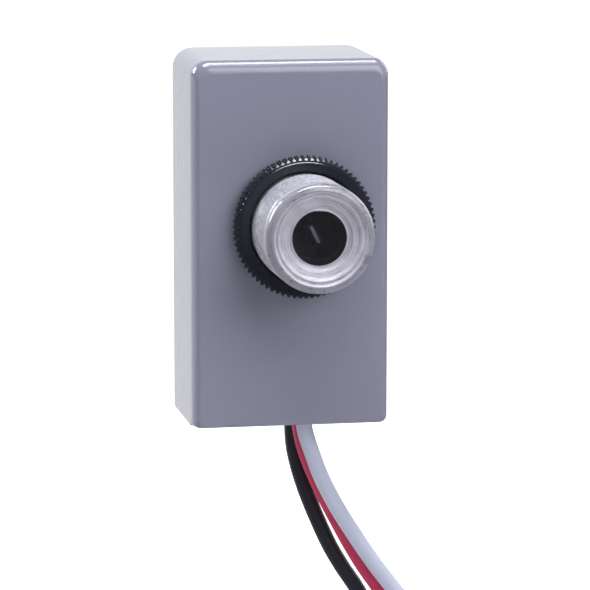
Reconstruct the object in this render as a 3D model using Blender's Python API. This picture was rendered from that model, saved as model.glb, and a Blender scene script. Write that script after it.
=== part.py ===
"""A photocell switch: a grey moulded box with a clear threaded stem, a knurled lock nut and three leads.

Metres. The origin is on the stem's axis, in the plane of the box's front face. The stem points along -Y, +Z is up
and +X is to the right as one faces the stem.
"""

import math

import bmesh
import bpy
import numpy as np
from mathutils import Matrix, Vector

# Clearances
SEAT_GAP = 0.0003  # between two pieces that touch on the real object
LEG_CLEARANCE = 0.0003  # round a wire leg in its hole
THREAD_CLEARANCE = 0.0003
SLOT_CLEARANCE = 0.0003  # round a lead in the bottom plate
ROW_GAP = 0.0010  # between neighbours on the circuit board
COLUMN_GAP = 0.0016  # between the rectifier and the taller parts on both sides of it
DIODE_GAP = 0.0028  # beside and between the two diodes
VARISTOR_GAP = 0.0044  # between the varistor and the film capacitor
RELAY_HEADROOM = 0.00945  # between the relay and the surge resistor, which runs hot
EDGE_MARGIN = 0.0004  # between a tall component and the guide ribs or the board's edge

# Housing, a cup that is open at the bottom
HOUSING_WIDTH = 0.0340
HOUSING_HEIGHT = 0.0633
HOUSING_DEPTH = 0.0250
WALL = 0.0018
STEM_BELOW_TOP = 0.0286
STEM_RIGHT_OF_MIDDLE = 0.0017
TOP_CORNER_RADIUS = 0.0034
FRONT_CORNER_RADIUS = 0.0027
MOUTH_CORNER_RADIUS = 0.0012
TOP_DRAFT = 0.00055  # how much lower the top is at the front edge than at the back edge
SIDE_EDGE_DEPTH = 0.0030  # how far back the rounding of the front's side edges reaches
TOP_EDGE_DEPTH = 0.0018  # and of its top and bottom edges
FRONT_EDGE_SIDE = 0.0014  # how far in the rounding reaches from each side, the top and the bottom
FRONT_EDGE_TOP = 0.0024
FRONT_EDGE_BOTTOM = 0.0007
BACK_EDGE_RADIUS = 0.0030
CAVITY_RADIUS = 0.0015
EDGE_STEPS = 6
CORNER_STEPS = 6
RIB_REACH = 0.0016
RIB_THICKNESS = 0.0015

# Bottom plate
PLATE_THICKNESS = 0.0020
PLATE_RECESS = 0.0006

# Stem
STEM_RADIUS = 0.00925
STEM_REACH = 0.0175  # from the front face to the tip
STEM_BORE_RADIUS = 0.0071
FLANGE_RADIUS = 0.0108
FLANGE_THICKNESS = 0.0020
FLANGE_FLAT = 0.0101  # from the axis to each of the flange's two flats
KEY_WIDTH = 0.0012
KEY_HEIGHT = 0.0080
TIP_ROUNDING = 0.0007
RIM_WIDTH = 0.0012
LENS_RADIUS = 0.0049
LENS_DEPTH = 0.0017  # from the tip back to the edge of the lens
LENS_CROWN = 0.0003
LENS_THICKNESS = 0.0015
POCKET_DEPTH = 0.0052
# The steps between the lens and the rim: the share of the way outwards, and the share of LENS_DEPTH that is left.
TIP_STEPS = ((0.13, 0.94), (0.22, 0.70), (0.54, 0.65), (0.63, 0.35), (0.86, 0.30))
STEM_SIDES = 64

# Lock nut
NUT_TEETH = 72
NUT_TIP_RADIUS = 0.0118
NUT_TOOTH_HEIGHT = 0.00045
NUT_THICKNESS = 0.0039
NUT_CHAMFER = 0.0004
NUT_FACE_CHAMFER = 0.0002
KNURL_ROWS = 6

# Shroud and light sensor
SHROUD_WALL = 0.0008
SHROUD_FLANGE_THICKNESS = 0.0012
SHROUD_LENGTH = 0.0090
SHROUD_WEB_THICKNESS = 0.0015
SHROUD_SIDES = 36
SENSOR_SIZE = (0.0042, 0.0042, 0.0016)  # across, along the stem, thick
SENSOR_EDGE = 0.0003
SENSOR_RIDGE_LENGTH = 0.0030
SENSOR_RIDGE_RADIUS = 0.00028
SENSOR_TURN_DEG = 63.0  # clockwise from level, as seen from the front
SENSOR_LEG_SPACING = 0.0025

# Circuit board and the legs of its components
BOARD_THICKNESS = 0.0016
BOARD_BACK_SPACE = 0.0026  # between the board and the housing's back wall
LEG_RADIUS = 0.00030
LEG_PAST_BOARD = 0.0012
LEG_SIDES = 8

# Components that stand on the board: width along X, height off the board, length along Z
RELAY_HEIGHT = 0.0118
FILM_CAPACITOR_HEIGHT = 0.0120
FILM_CAPACITOR_THICKNESS = 0.0075
BRIDGE_SIZE = (0.0052, 0.0034, 0.0070)
BLOCK_EDGE = 0.0005
SMOOTHING_RADIUS = 0.0040
SMOOTHING_HEIGHT = 0.0115
DELAY_RADIUS = 0.0025
DELAY_HEIGHT = 0.0110
CAN_EDGE = 0.0004
CAN_CRIMP_DEPTH = 0.0003
CAN_CRIMP_HEIGHT = 0.0016
VARISTOR_RADIUS = 0.0045
VARISTOR_THICKNESS = 0.0040
VARISTOR_EDGE = 0.0009
VARISTOR_STANDOFF = 0.0012
TRANSISTOR_RADIUS = 0.0024
TRANSISTOR_FLAT = 0.0013
TRANSISTOR_HEIGHT = 0.0048
TRANSISTOR_STANDOFF = 0.0030
TRANSISTOR_LEG_SPACING = 0.0018

# Components that lie on the board: body radius, body length, how far the legs stand apart
POWER_RESISTOR = (0.00195, 0.0110, 0.0144)
SMALL_RESISTOR = (0.00120, 0.0060, 0.0100)
DIODE_RADIUS = 0.00135
DIODE_LENGTH = 0.0050
AXIAL_STANDOFF = 0.0003
BODY_SIDES = 16

# Places on the board, from the stem's axis
SURGE_RESISTOR_Z = -0.0045
GAIN_RESISTOR_Z = -0.0015
HYSTERESIS_RESISTOR_Z = 0.0018
TRANSISTOR_Z = 0.0065
DIODE_Z = 0.0100

# Leads
LEAD_DIAMETER = 0.0028
CONDUCTOR_RADIUS = 0.0006
TIP_LENGTH = 0.0100
SOLDER_RADIUS = 0.0014
SOLDER_HEIGHT = 0.0011
SPACING_INSIDE = 0.0028  # between the points of a lead, in the box and below it
SPACING_BELOW = 0.0070

# Worked out from the sizes above
MIDDLE_X = -STEM_RIGHT_OF_MIDDLE
LEFT = MIDDLE_X - HOUSING_WIDTH / 2
RIGHT = MIDDLE_X + HOUSING_WIDTH / 2
TOP = STEM_BELOW_TOP
BOTTOM = TOP - HOUSING_HEIGHT
INNER_LEFT = LEFT + WALL
INNER_RIGHT = RIGHT - WALL
INNER_TOP = TOP - WALL
INNER_BACK = HOUSING_DEPTH - WALL
PLATE_LOW = BOTTOM + PLATE_RECESS
PLATE_HIGH = PLATE_LOW + PLATE_THICKNESS
BOARD_BACK = INNER_BACK - BOARD_BACK_SPACE
BOARD_FRONT = BOARD_BACK - BOARD_THICKNESS
BOARD_LOW = PLATE_HIGH + SEAT_GAP
BOARD_HIGH = INNER_TOP - SEAT_GAP
PART_BASE = BOARD_FRONT - SEAT_GAP  # the underside of what stands on the board
LEG_END = BOARD_BACK + LEG_PAST_BOARD
FREE_LEFT = INNER_LEFT + RIB_REACH + EDGE_MARGIN
FREE_RIGHT = INNER_RIGHT - RIB_REACH - EDGE_MARGIN
FREE_LOW = BOARD_LOW + EDGE_MARGIN
FREE_HIGH = BOARD_HIGH - EDGE_MARGIN
FREE_WIDTH = FREE_RIGHT - FREE_LEFT
SURGE_RESISTOR_LOW = SURGE_RESISTOR_Z - POWER_RESISTOR[0]
RELAY_SIZE = (
    FREE_WIDTH - 2 * SMOOTHING_RADIUS - BRIDGE_SIZE[0] - 2 * COLUMN_GAP,
    RELAY_HEIGHT,
    SURGE_RESISTOR_LOW - RELAY_HEADROOM - FREE_LOW,
)
FILM_CAPACITOR_SIZE = (
    FREE_WIDTH - VARISTOR_THICKNESS - VARISTOR_GAP,
    FILM_CAPACITOR_HEIGHT,
    FILM_CAPACITOR_THICKNESS,
)
DIODE_SPAN = (FREE_WIDTH - 3 * DIODE_GAP) / 2
DIODE = (DIODE_RADIUS, DIODE_LENGTH, DIODE_SPAN)
ZENER_X = FREE_LEFT + DIODE_GAP + DIODE_SPAN / 2
FLYBACK_X = FREE_RIGHT - DIODE_GAP - DIODE_SPAN / 2
TIP_Y = -STEM_REACH
FLANGE_FRONT = WALL + SEAT_GAP
FLANGE_BACK = FLANGE_FRONT + FLANGE_THICKNESS
LENS_EDGE_Y = TIP_Y + LENS_DEPTH
POCKET_FRONT = LENS_EDGE_Y + LENS_THICKNESS
POCKET_BACK = POCKET_FRONT + POCKET_DEPTH
POCKET_RADIUS = LENS_RADIUS + SEAT_GAP / 2
SHROUD_RADIUS = POCKET_RADIUS - SEAT_GAP
SHROUD_FLANGE_RADIUS = STEM_BORE_RADIUS - SEAT_GAP
SHROUD_FRONT = POCKET_FRONT + SEAT_GAP
SHROUD_BACK = SHROUD_FRONT + SHROUD_LENGTH
SHROUD_SEAT = POCKET_BACK + SEAT_GAP
SENSOR_BACK = SHROUD_BACK - SHROUD_WEB_THICKNESS - SEAT_GAP
NUT_BACK = -SEAT_GAP
NUT_FRONT = NUT_BACK - NUT_THICKNESS
NUT_BORE_RADIUS = STEM_RADIUS + THREAD_CLEARANCE
OVERLAP = WALL / 3  # how deep a rib is rooted in its wall

# Each lead's route, from just in front of the circuit board, forwards, down through the bottom plate and then to
# the right and down as it hangs, to where its insulation ends.
LEAD_ROUTES = {
    "white_lead": [
        (0.0017, 0.0172, -0.0202),
        (0.0017, 0.0148, -0.0202),
        (0.0017, 0.0123, -0.0203),
        (0.0017, 0.0097, -0.0210),
        (0.0017, 0.0077, -0.0230),
        (0.0017, 0.0070, -0.0255),
        (0.0016, 0.0069, -0.0290),
        (0.0016, 0.0069, -0.0330),
        (0.0018, 0.0069, -0.0366),
        (0.0030, 0.0069, -0.0405),
        (0.0049, 0.0069, -0.0455),
        (0.0077, 0.0069, -0.0509),
        (0.0116, 0.0069, -0.0571),
        (0.0146, 0.0070, -0.0615),
        (0.0180, 0.0071, -0.0660),
        (0.0229, 0.0074, -0.0730),
        (0.0275, 0.0078, -0.0810),
        (0.0309, 0.0083, -0.0900),
        (0.0331, 0.0088, -0.1000),
        (0.0343, 0.0093, -0.1105),
        (0.0348, 0.0097, -0.1215),
        (0.0350, 0.0100, -0.1330),
        (0.0351, 0.0102, -0.1450),
        (0.0355, 0.0104, -0.1680),
    ],
    "red_lead": [
        (0.0016, 0.0172, -0.0236),
        (0.0016, 0.0153, -0.0236),
        (0.0016, 0.0127, -0.0244),
        (0.0016, 0.0107, -0.0264),
        (0.0016, 0.0101, -0.0288),
        (0.0015, 0.0100, -0.0325),
        (0.0015, 0.0100, -0.0364),
        (0.0025, 0.0100, -0.0410),
        (0.0045, 0.0100, -0.0461),
        (0.0071, 0.0100, -0.0515),
        (0.0104, 0.0101, -0.0577),
        (0.0131, 0.0102, -0.0622),
        (0.0161, 0.0104, -0.0666),
        (0.0203, 0.0108, -0.0735),
        (0.0240, 0.0112, -0.0815),
        (0.0266, 0.0117, -0.0905),
        (0.0282, 0.0122, -0.1003),
        (0.0290, 0.0127, -0.1110),
        (0.0293, 0.0131, -0.1220),
        (0.0293, 0.0134, -0.1335),
        (0.0292, 0.0136, -0.1450),
        (0.0290, 0.0138, -0.1695),
    ],
    "black_lead": [
        (0.0008, 0.0172, -0.0272),
        (0.0008, 0.0161, -0.0272),
        (0.0008, 0.0147, -0.0279),
        (0.0008, 0.0136, -0.0292),
        (0.0008, 0.0131, -0.0312),
        (0.0007, 0.0131, -0.0345),
        (0.0007, 0.0131, -0.0378),
        (0.0011, 0.0131, -0.0416),
        (0.0024, 0.0131, -0.0466),
        (0.0044, 0.0131, -0.0520),
        (0.0072, 0.0131, -0.0583),
        (0.0097, 0.0132, -0.0627),
        (0.0125, 0.0134, -0.0670),
        (0.0161, 0.0138, -0.0740),
        (0.0191, 0.0143, -0.0820),
        (0.0212, 0.0149, -0.0910),
        (0.0224, 0.0155, -0.1008),
        (0.0229, 0.0160, -0.1115),
        (0.0230, 0.0164, -0.1225),
        (0.0229, 0.0167, -0.1340),
        (0.0227, 0.0169, -0.1455),
        (0.0225, 0.0171, -0.1715),
    ],
}


def clear_scene():
    """Removes whatever the scene holds at the start."""
    for obj in list(bpy.data.objects):
        bpy.data.objects.remove(obj, do_unlink=True)


def make_material(name, colour, roughness, metallic=0.0, transmission=0.0):
    """A Principled material with a piece's colour and finish."""
    material = bpy.data.materials.new(name)
    material.use_nodes = True
    shader = material.node_tree.nodes["Principled BSDF"]
    shader.inputs["Base Color"].default_value = (*colour, 1.0)
    shader.inputs["Roughness"].default_value = roughness
    shader.inputs["Metallic"].default_value = metallic
    shader.inputs["Transmission Weight"].default_value = transmission
    return material


def add_piece(name, bm, material):
    """Turns a finished bmesh into a named object, shaded smooth between its sharp edges."""
    bmesh.ops.recalc_face_normals(bm, faces=bm.faces)
    mesh = bpy.data.meshes.new(name)
    bm.to_mesh(mesh)
    bm.free()
    mesh.shade_smooth()
    mesh.set_sharp_from_angle(angle=math.radians(35))
    mesh.materials.append(material)
    obj = bpy.data.objects.new(name, mesh)
    bpy.context.scene.collection.objects.link(obj)
    return obj


def combine(obj, name, bm, operation):
    """Cuts a shape out of an object (DIFFERENCE) or joins it on (UNION), with the shape kept as a helper."""
    bmesh.ops.recalc_face_normals(bm, faces=bm.faces)
    mesh = bpy.data.meshes.new(name)
    bm.to_mesh(mesh)
    bm.free()
    helper = bpy.data.objects.new(name, mesh)
    bpy.context.scene.collection.objects.link(helper)
    helper.hide_render = True
    helper.display_type = "WIRE"
    boolean = obj.modifiers.new(name, "BOOLEAN")
    boolean.operation = operation
    boolean.solver = "EXACT"
    boolean.object = helper


def round_edges(bm, edges, radius, segments=2):
    """Rounds some edges of a bmesh."""
    bmesh.ops.bevel(
        bm,
        geom=edges,
        offset=radius,
        segments=segments,
        profile=0.5,
        affect="EDGES",
        clamp_overlap=True,
        material=-1,
    )


def add_box(bm, low, high):
    """Adds a plain box between two corners to a bmesh."""
    low, high = Vector(low), Vector(high)
    made = bmesh.ops.create_cube(bm, size=1.0)["verts"]
    bmesh.ops.scale(bm, vec=high - low, verts=made)
    bmesh.ops.translate(bm, vec=(low + high) / 2, verts=made)


def add_rod(bm, x, z, radius, y_low, y_high, sides=LEG_SIDES):
    """Adds a cylinder along Y to a bmesh."""
    made = bmesh.ops.create_cone(
        bm,
        cap_ends=True,
        segments=sides,
        radius1=radius,
        radius2=radius,
        depth=y_high - y_low,
    )["verts"]
    bmesh.ops.rotate(bm, verts=made, cent=(0, 0, 0), matrix=Matrix.Rotation(math.pi / 2, 3, "X"))
    bmesh.ops.translate(bm, verts=made, vec=(x, (y_low + y_high) / 2, z))


def soft_block(centre_x, centre_z, size, base=PART_BASE, edge=BLOCK_EDGE):
    """A block that stands on the board, its size given as width, height off the board and length."""
    width, height, length = size
    bm = bmesh.new()
    add_box(
        bm,
        (centre_x - width / 2, base - height, centre_z - length / 2),
        (centre_x + width / 2, base, centre_z + length / 2),
    )
    round_edges(bm, bm.edges[:], edge)
    return bm


def turned(profile, steps=BODY_SIDES):
    """A solid turned about the Y axis from (radius, y) points, which start and end on the axis or form a ring."""
    bm = bmesh.new()
    verts = [bm.verts.new((radius, y, 0.0)) for radius, y in profile]
    starts_on_axis = profile[0][0] == 0.0
    following = verts[1:] if starts_on_axis else verts[1:] + verts[:1]
    edges = [bm.edges.new(pair) for pair in zip(verts, following)]
    bmesh.ops.spin(
        bm,
        geom=verts + edges,
        cent=(0, 0, 0),
        axis=(0, 1, 0),
        angle=math.tau,
        steps=steps,
        use_merge=True,
        use_duplicate=False,
    )
    bmesh.ops.remove_doubles(bm, verts=bm.verts[:], dist=1e-7)
    return bm


def bent_wire(points, radius):
    """A round wire through a few points, as a closed bmesh."""
    curve = bpy.data.curves.new("wire", "CURVE")
    wire = tube_object("wire", points, 2 * radius, curve)
    mesh = bpy.data.meshes.new_from_object(wire)
    bpy.data.objects.remove(wire, do_unlink=True)
    bm = bmesh.new()
    bm.from_mesh(mesh)
    bmesh.ops.remove_doubles(bm, verts=bm.verts[:], dist=1e-7)
    return bm


def tube_object(name, points, diameter, curve):
    """A curve object with a round section and closed ends, through the points."""
    curve.dimensions = "3D"
    curve.bevel_depth = diameter / 2
    curve.bevel_resolution = 2
    curve.use_fill_caps = True
    spline = curve.splines.new("POLY")
    spline.points.add(len(points) - 1)
    for point, place in zip(spline.points, points):
        point.co = (*place, 1.0)
    obj = bpy.data.objects.new(name, curve)
    bpy.context.scene.collection.objects.link(obj)
    return obj


def smooth_route(route):
    """Points along a smooth curve through a lead's own points, closer together inside the box."""
    route = np.array(route)
    padded = np.vstack([2 * route[0] - route[1], route, 2 * route[-1] - route[-2]])
    dense = []
    for p0, p1, p2, p3 in zip(padded, padded[1:], padded[2:], padded[3:]):
        for t in np.linspace(0, 1, 16, endpoint=False):
            square = (2 * p0 - 5 * p1 + 4 * p2 - p3) * t**2
            cube = (3 * p1 - p0 - 3 * p2 + p3) * t**3
            dense.append((2 * p1 + (p2 - p0) * t + square + cube) / 2)
    dense = np.array([*dense, route[-1]])
    along = np.concatenate([[0], np.cumsum(np.linalg.norm(np.diff(dense, axis=0), axis=1))])
    leaves = along[np.argmax(dense[:, 2] < BOTTOM)]
    inside = np.linspace(0, leaves, round(leaves / SPACING_INSIDE) + 1)
    below = np.linspace(leaves, along[-1], round((along[-1] - leaves) / SPACING_BELOW) + 1)
    stops = np.concatenate([inside, below[1:]])
    return np.stack([np.interp(stops, along, dense[:, axis]) for axis in range(3)], axis=1)


def corner_arc(centre_x, centre_z, radius, start_deg):
    """The points of a quarter circle, turning clockwise as seen from the front."""
    points = []
    for step in range(CORNER_STEPS + 1):
        angle = math.radians(start_deg - 90.0 * step / CORNER_STEPS)
        points.append((centre_x + radius * math.cos(angle), centre_z + radius * math.sin(angle)))
    return points


def cup_outline(side, top, bottom, top_radius, mouth_radius):
    """The housing's outline at one depth, drawn in by so much at each side, the top and the bottom."""
    left, right = LEFT + side, RIGHT - side
    high, low = TOP - top, BOTTOM + bottom
    return (
        corner_arc(left + mouth_radius, low + mouth_radius, mouth_radius, 270)
        + corner_arc(left + top_radius, high - top_radius, top_radius, 180)
        + corner_arc(right - top_radius, high - top_radius, top_radius, 90)
        + corner_arc(right - mouth_radius, low + mouth_radius, mouth_radius, 0)
    )


def loft(sections):
    """Skins a list of (y, outline) sections and closes both ends."""
    bm = bmesh.new()
    rings = []
    for y, outline in sections:
        verts = [bm.verts.new((x, y, z)) for x, z in outline]
        rings.append([bm.edges.new(pair) for pair in zip(verts, verts[1:] + verts[:1])])
    for near, far in zip(rings, rings[1:]):
        bmesh.ops.bridge_loops(bm, edges=near + far)
    for ring in (rings[0], rings[-1]):
        bmesh.ops.contextual_create(bm, geom=ring)
    return bm


def rounding(y, depth, reach):
    """How far a front edge's rounding draws in the outline at one depth behind the front face."""
    if y >= depth:
        return 0.0
    return reach * (1 - math.sqrt(1 - (1 - y / depth) ** 2))


def housing_shell():
    """The outside of the cup: rounded front edges, larger rounded back edges, a drafted top and a cut-off mouth."""
    square_mouth = WALL / 6
    back_edge = HOUSING_DEPTH - BACK_EDGE_RADIUS
    mouth_end = SIDE_EDGE_DEPTH + MOUTH_CORNER_RADIUS
    quarter_turns = [math.pi / 2 * step / EDGE_STEPS for step in range(EDGE_STEPS + 1)]
    depths = {SIDE_EDGE_DEPTH * (1 - math.cos(turn)) for turn in quarter_turns}
    depths |= {TOP_EDGE_DEPTH * (1 - math.cos(turn)) for turn in quarter_turns[2::2]}
    sections = []
    for y in sorted(depths):
        share = y / back_edge
        side = rounding(y, SIDE_EDGE_DEPTH, FRONT_EDGE_SIDE)
        outline = cup_outline(
            side,
            rounding(y, TOP_EDGE_DEPTH, FRONT_EDGE_TOP) + TOP_DRAFT * (1 - share),
            rounding(y, TOP_EDGE_DEPTH, FRONT_EDGE_BOTTOM),
            FRONT_CORNER_RADIUS + (TOP_CORNER_RADIUS - FRONT_CORNER_RADIUS) * share - side / 2,
            MOUTH_CORNER_RADIUS,
        )
        sections.append((y, outline))
    share = mouth_end / back_edge
    corner = FRONT_CORNER_RADIUS + (TOP_CORNER_RADIUS - FRONT_CORNER_RADIUS) * share
    sections.append((mouth_end, cup_outline(0, TOP_DRAFT * (1 - share), 0, corner, square_mouth)))
    for turn in quarter_turns:
        inset = BACK_EDGE_RADIUS * (1 - math.cos(turn))
        top_radius = max(TOP_CORNER_RADIUS - inset, square_mouth)
        y = HOUSING_DEPTH - BACK_EDGE_RADIUS * (1 - math.sin(turn))
        sections.append((y, cup_outline(inset, inset, 0, top_radius, square_mouth)))
    return loft(sections)


def make_housing():
    """The grey cup with its stem hole, the guide ribs for the board and the keys for the stem's flange."""
    grey = make_material("grey_polycarbonate", (0.21, 0.21, 0.28), 0.35)
    housing = add_piece("housing", housing_shell(), grey)

    cavity = bmesh.new()
    add_box(cavity, (INNER_LEFT, WALL, BOTTOM - WALL), (INNER_RIGHT, INNER_BACK, INNER_TOP))
    inner_edges = [edge for edge in cavity.edges if max(vert.co.z for vert in edge.verts) > 0]
    round_edges(cavity, inner_edges, CAVITY_RADIUS, segments=4)
    combine(housing, "housing_cavity", cavity, "DIFFERENCE")

    hole = bmesh.new()
    add_rod(hole, 0, 0, STEM_RADIUS + SEAT_GAP, -WALL, 2 * WALL, sides=STEM_SIDES)
    combine(housing, "housing_stem_hole", hole, "DIFFERENCE")

    ribs = bmesh.new()
    front_rib = (BOARD_FRONT - SEAT_GAP - RIB_THICKNESS, BOARD_FRONT - SEAT_GAP)
    back_rib = (BOARD_BACK + SEAT_GAP, INNER_BACK + OVERLAP)
    rib_top = INNER_TOP - CAVITY_RADIUS - SEAT_GAP
    for y_low, y_high in (front_rib, back_rib):
        for x_low, x_high in (
            (INNER_LEFT - OVERLAP, INNER_LEFT + RIB_REACH),
            (INNER_RIGHT - RIB_REACH, INNER_RIGHT + OVERLAP),
        ):
            add_box(ribs, (x_low, y_low, PLATE_HIGH + SEAT_GAP), (x_high, y_high, rib_top))
    combine(housing, "housing_ribs", ribs, "UNION")

    keys = bmesh.new()
    for side in (-1, 1):
        x_low, x_high = sorted((side * (FLANGE_FLAT + SEAT_GAP), side * (FLANGE_FLAT + SEAT_GAP + KEY_WIDTH)))
        add_box(keys, (x_low, WALL - OVERLAP, -KEY_HEIGHT / 2), (x_high, FLANGE_BACK, KEY_HEIGHT / 2))
    combine(housing, "housing_keys", keys, "UNION")


def make_bottom_plate():
    """The plate that closes the mouth, with one slot that the three leads share."""
    bm = bmesh.new()
    add_box(
        bm,
        (INNER_LEFT + SEAT_GAP, WALL + SEAT_GAP, PLATE_LOW),
        (INNER_RIGHT - SEAT_GAP, INNER_BACK - SEAT_GAP, PLATE_HIGH),
    )
    upright = [edge for edge in bm.edges if abs(edge.verts[0].co.z - edge.verts[1].co.z) > PLATE_THICKNESS / 2]
    round_edges(bm, upright, CAVITY_RADIUS, segments=4)
    plate = add_piece("bottom_plate", bm, make_material("grey_plate", (0.17, 0.17, 0.22), 0.45))
    radius = LEAD_DIAMETER / 2 + SLOT_CLEARANCE
    for name, route in LEAD_ROUTES.items():
        x, y = lead_place_at_plate(route)
        slot = bmesh.new()
        made = bmesh.ops.create_cone(
            slot,
            cap_ends=True,
            segments=BODY_SIDES,
            radius1=radius,
            radius2=radius,
            depth=3 * PLATE_THICKNESS,
        )["verts"]
        bmesh.ops.translate(slot, verts=made, vec=(x, y, (PLATE_LOW + PLATE_HIGH) / 2))
        combine(plate, name + "_slot", slot, "DIFFERENCE")


def lead_place_at_plate(route):
    """Where a lead's axis crosses the bottom plate."""
    x, y, _ = min(route, key=lambda point: abs(point[2] - (PLATE_LOW + PLATE_HIGH) / 2))
    return x, y


def make_lens_stem():
    """The clear stem, one moulding: a lens in a stepped tip, a hollow shank and a flange with two flats."""
    rim_inner = STEM_RADIUS - RIM_WIDTH
    steps = []
    for share_out, share_deep in TIP_STEPS:
        steps.append((LENS_RADIUS + (rim_inner - LENS_RADIUS) * share_out, TIP_Y + LENS_DEPTH * share_deep))
    profile = [
        (0.0, LENS_EDGE_Y - LENS_CROWN),
        (LENS_RADIUS * 0.5, LENS_EDGE_Y - LENS_CROWN * 0.75),
        (LENS_RADIUS, LENS_EDGE_Y),
        *steps,
        (rim_inner, TIP_Y),
        (STEM_RADIUS - TIP_ROUNDING, TIP_Y),
        (STEM_RADIUS - TIP_ROUNDING * 0.3, TIP_Y + TIP_ROUNDING * 0.3),
        (STEM_RADIUS, TIP_Y + TIP_ROUNDING),
        (STEM_RADIUS, FLANGE_FRONT),
        (FLANGE_RADIUS, FLANGE_FRONT),
        (FLANGE_RADIUS, FLANGE_BACK),
        (STEM_BORE_RADIUS, FLANGE_BACK),
        (STEM_BORE_RADIUS, POCKET_BACK),
        (POCKET_RADIUS, POCKET_BACK),
        (POCKET_RADIUS, POCKET_FRONT),
        (0.0, POCKET_FRONT),
    ]
    material = make_material("clear_polycarbonate", (0.86, 0.87, 0.90), 0.12, transmission=1.0)
    stem = add_piece("lens_stem", turned(profile, STEM_SIDES), material)
    flats = bmesh.new()
    for side in (-1, 1):
        x_low, x_high = sorted((side * FLANGE_FLAT, side * 2 * FLANGE_RADIUS))
        add_box(
            flats,
            (x_low, FLANGE_FRONT - SEAT_GAP, -FLANGE_RADIUS),
            (x_high, FLANGE_BACK + SEAT_GAP, FLANGE_RADIUS),
        )
    combine(stem, "stem_flats", flats, "DIFFERENCE")


def make_lock_nut():
    """The ring nut: a diamond knurl between its chamfered faces, one small pyramid for each tooth of each row."""
    root = NUT_TIP_RADIUS - NUT_TOOTH_HEIGHT
    face_radius = root - NUT_FACE_CHAMFER
    columns = 2 * NUT_TEETH
    band_back = NUT_BACK - NUT_CHAMFER
    band_front = NUT_FRONT + NUT_CHAMFER
    bm = bmesh.new()

    def ring(y, radius, tip_radius, parity):
        """One ring of corners, in which every other corner of the given parity is a tooth's tip."""
        verts = []
        for column in range(columns):
            angle = math.tau * column / columns
            reach = tip_radius if (column + parity) % 2 == 0 else radius
            verts.append(bm.verts.new((reach * math.cos(angle), y, reach * math.sin(angle))))
        return verts

    rings = [ring(NUT_BACK, NUT_BORE_RADIUS, NUT_BORE_RADIUS, 0), ring(NUT_BACK, face_radius, face_radius, 0)]
    for row in range(KNURL_ROWS + 1):
        tip_radius = NUT_TIP_RADIUS if 0 < row < KNURL_ROWS else root
        rings.append(ring(band_back + (band_front - band_back) * row / KNURL_ROWS, root, tip_radius, row))
    rings += [ring(NUT_FRONT, face_radius, face_radius, 0), ring(NUT_FRONT, NUT_BORE_RADIUS, NUT_BORE_RADIUS, 0)]
    first_row = 2
    for index, (near, far) in enumerate(zip(rings, rings[1:] + rings[:1])):
        for column in range(columns):
            after = (column + 1) % columns
            corners = (near[column], near[after], far[after], far[column])
            if not first_row <= index < first_row + KNURL_ROWS:
                bm.faces.new(corners)
                continue
            # The fold between two pyramids runs along the cell's two low corners.
            shift = 1 if (column + index - first_row) % 2 == 0 else 0
            turned_corners = corners[shift:] + corners[:shift]
            bm.faces.new(turned_corners[:3])
            bm.faces.new((turned_corners[0], turned_corners[2], turned_corners[3]))
    add_piece("lock_nut", bm, make_material("black_nylon", (0.012, 0.013, 0.018), 0.4))


def sensor_leg_places():
    """Where the sensor's two legs run, as (x, z)."""
    turn = math.radians(SENSOR_TURN_DEG)
    reach = SENSOR_LEG_SPACING / 2
    return [(side * reach * math.cos(turn), -side * reach * math.sin(turn)) for side in (-1, 1)]


def make_sensor_shroud():
    """The black tube behind the lens, flanged where it seats in the stem, with a web that carries the sensor."""
    inner = SHROUD_RADIUS - SHROUD_WALL
    web_front = SHROUD_BACK - SHROUD_WEB_THICKNESS
    profile = [
        (0.0, web_front),
        (inner, web_front),
        (inner, SHROUD_FRONT),
        (SHROUD_RADIUS, SHROUD_FRONT),
        (SHROUD_RADIUS, SHROUD_SEAT),
        (SHROUD_FLANGE_RADIUS, SHROUD_SEAT),
        (SHROUD_FLANGE_RADIUS, SHROUD_SEAT + SHROUD_FLANGE_THICKNESS),
        (SHROUD_RADIUS, SHROUD_SEAT + SHROUD_FLANGE_THICKNESS),
        (SHROUD_RADIUS, SHROUD_BACK),
        (0.0, SHROUD_BACK),
    ]
    black = make_material("black_abs", (0.010, 0.010, 0.014), 0.6)
    shroud = add_piece("sensor_shroud", turned(profile, SHROUD_SIDES), black)
    holes = bmesh.new()
    for x, z in sensor_leg_places():
        add_rod(holes, x, z, LEG_RADIUS + LEG_CLEARANCE, web_front - WALL, SHROUD_BACK + WALL)
    combine(shroud, "shroud_leg_holes", holes, "DIFFERENCE")


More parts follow.
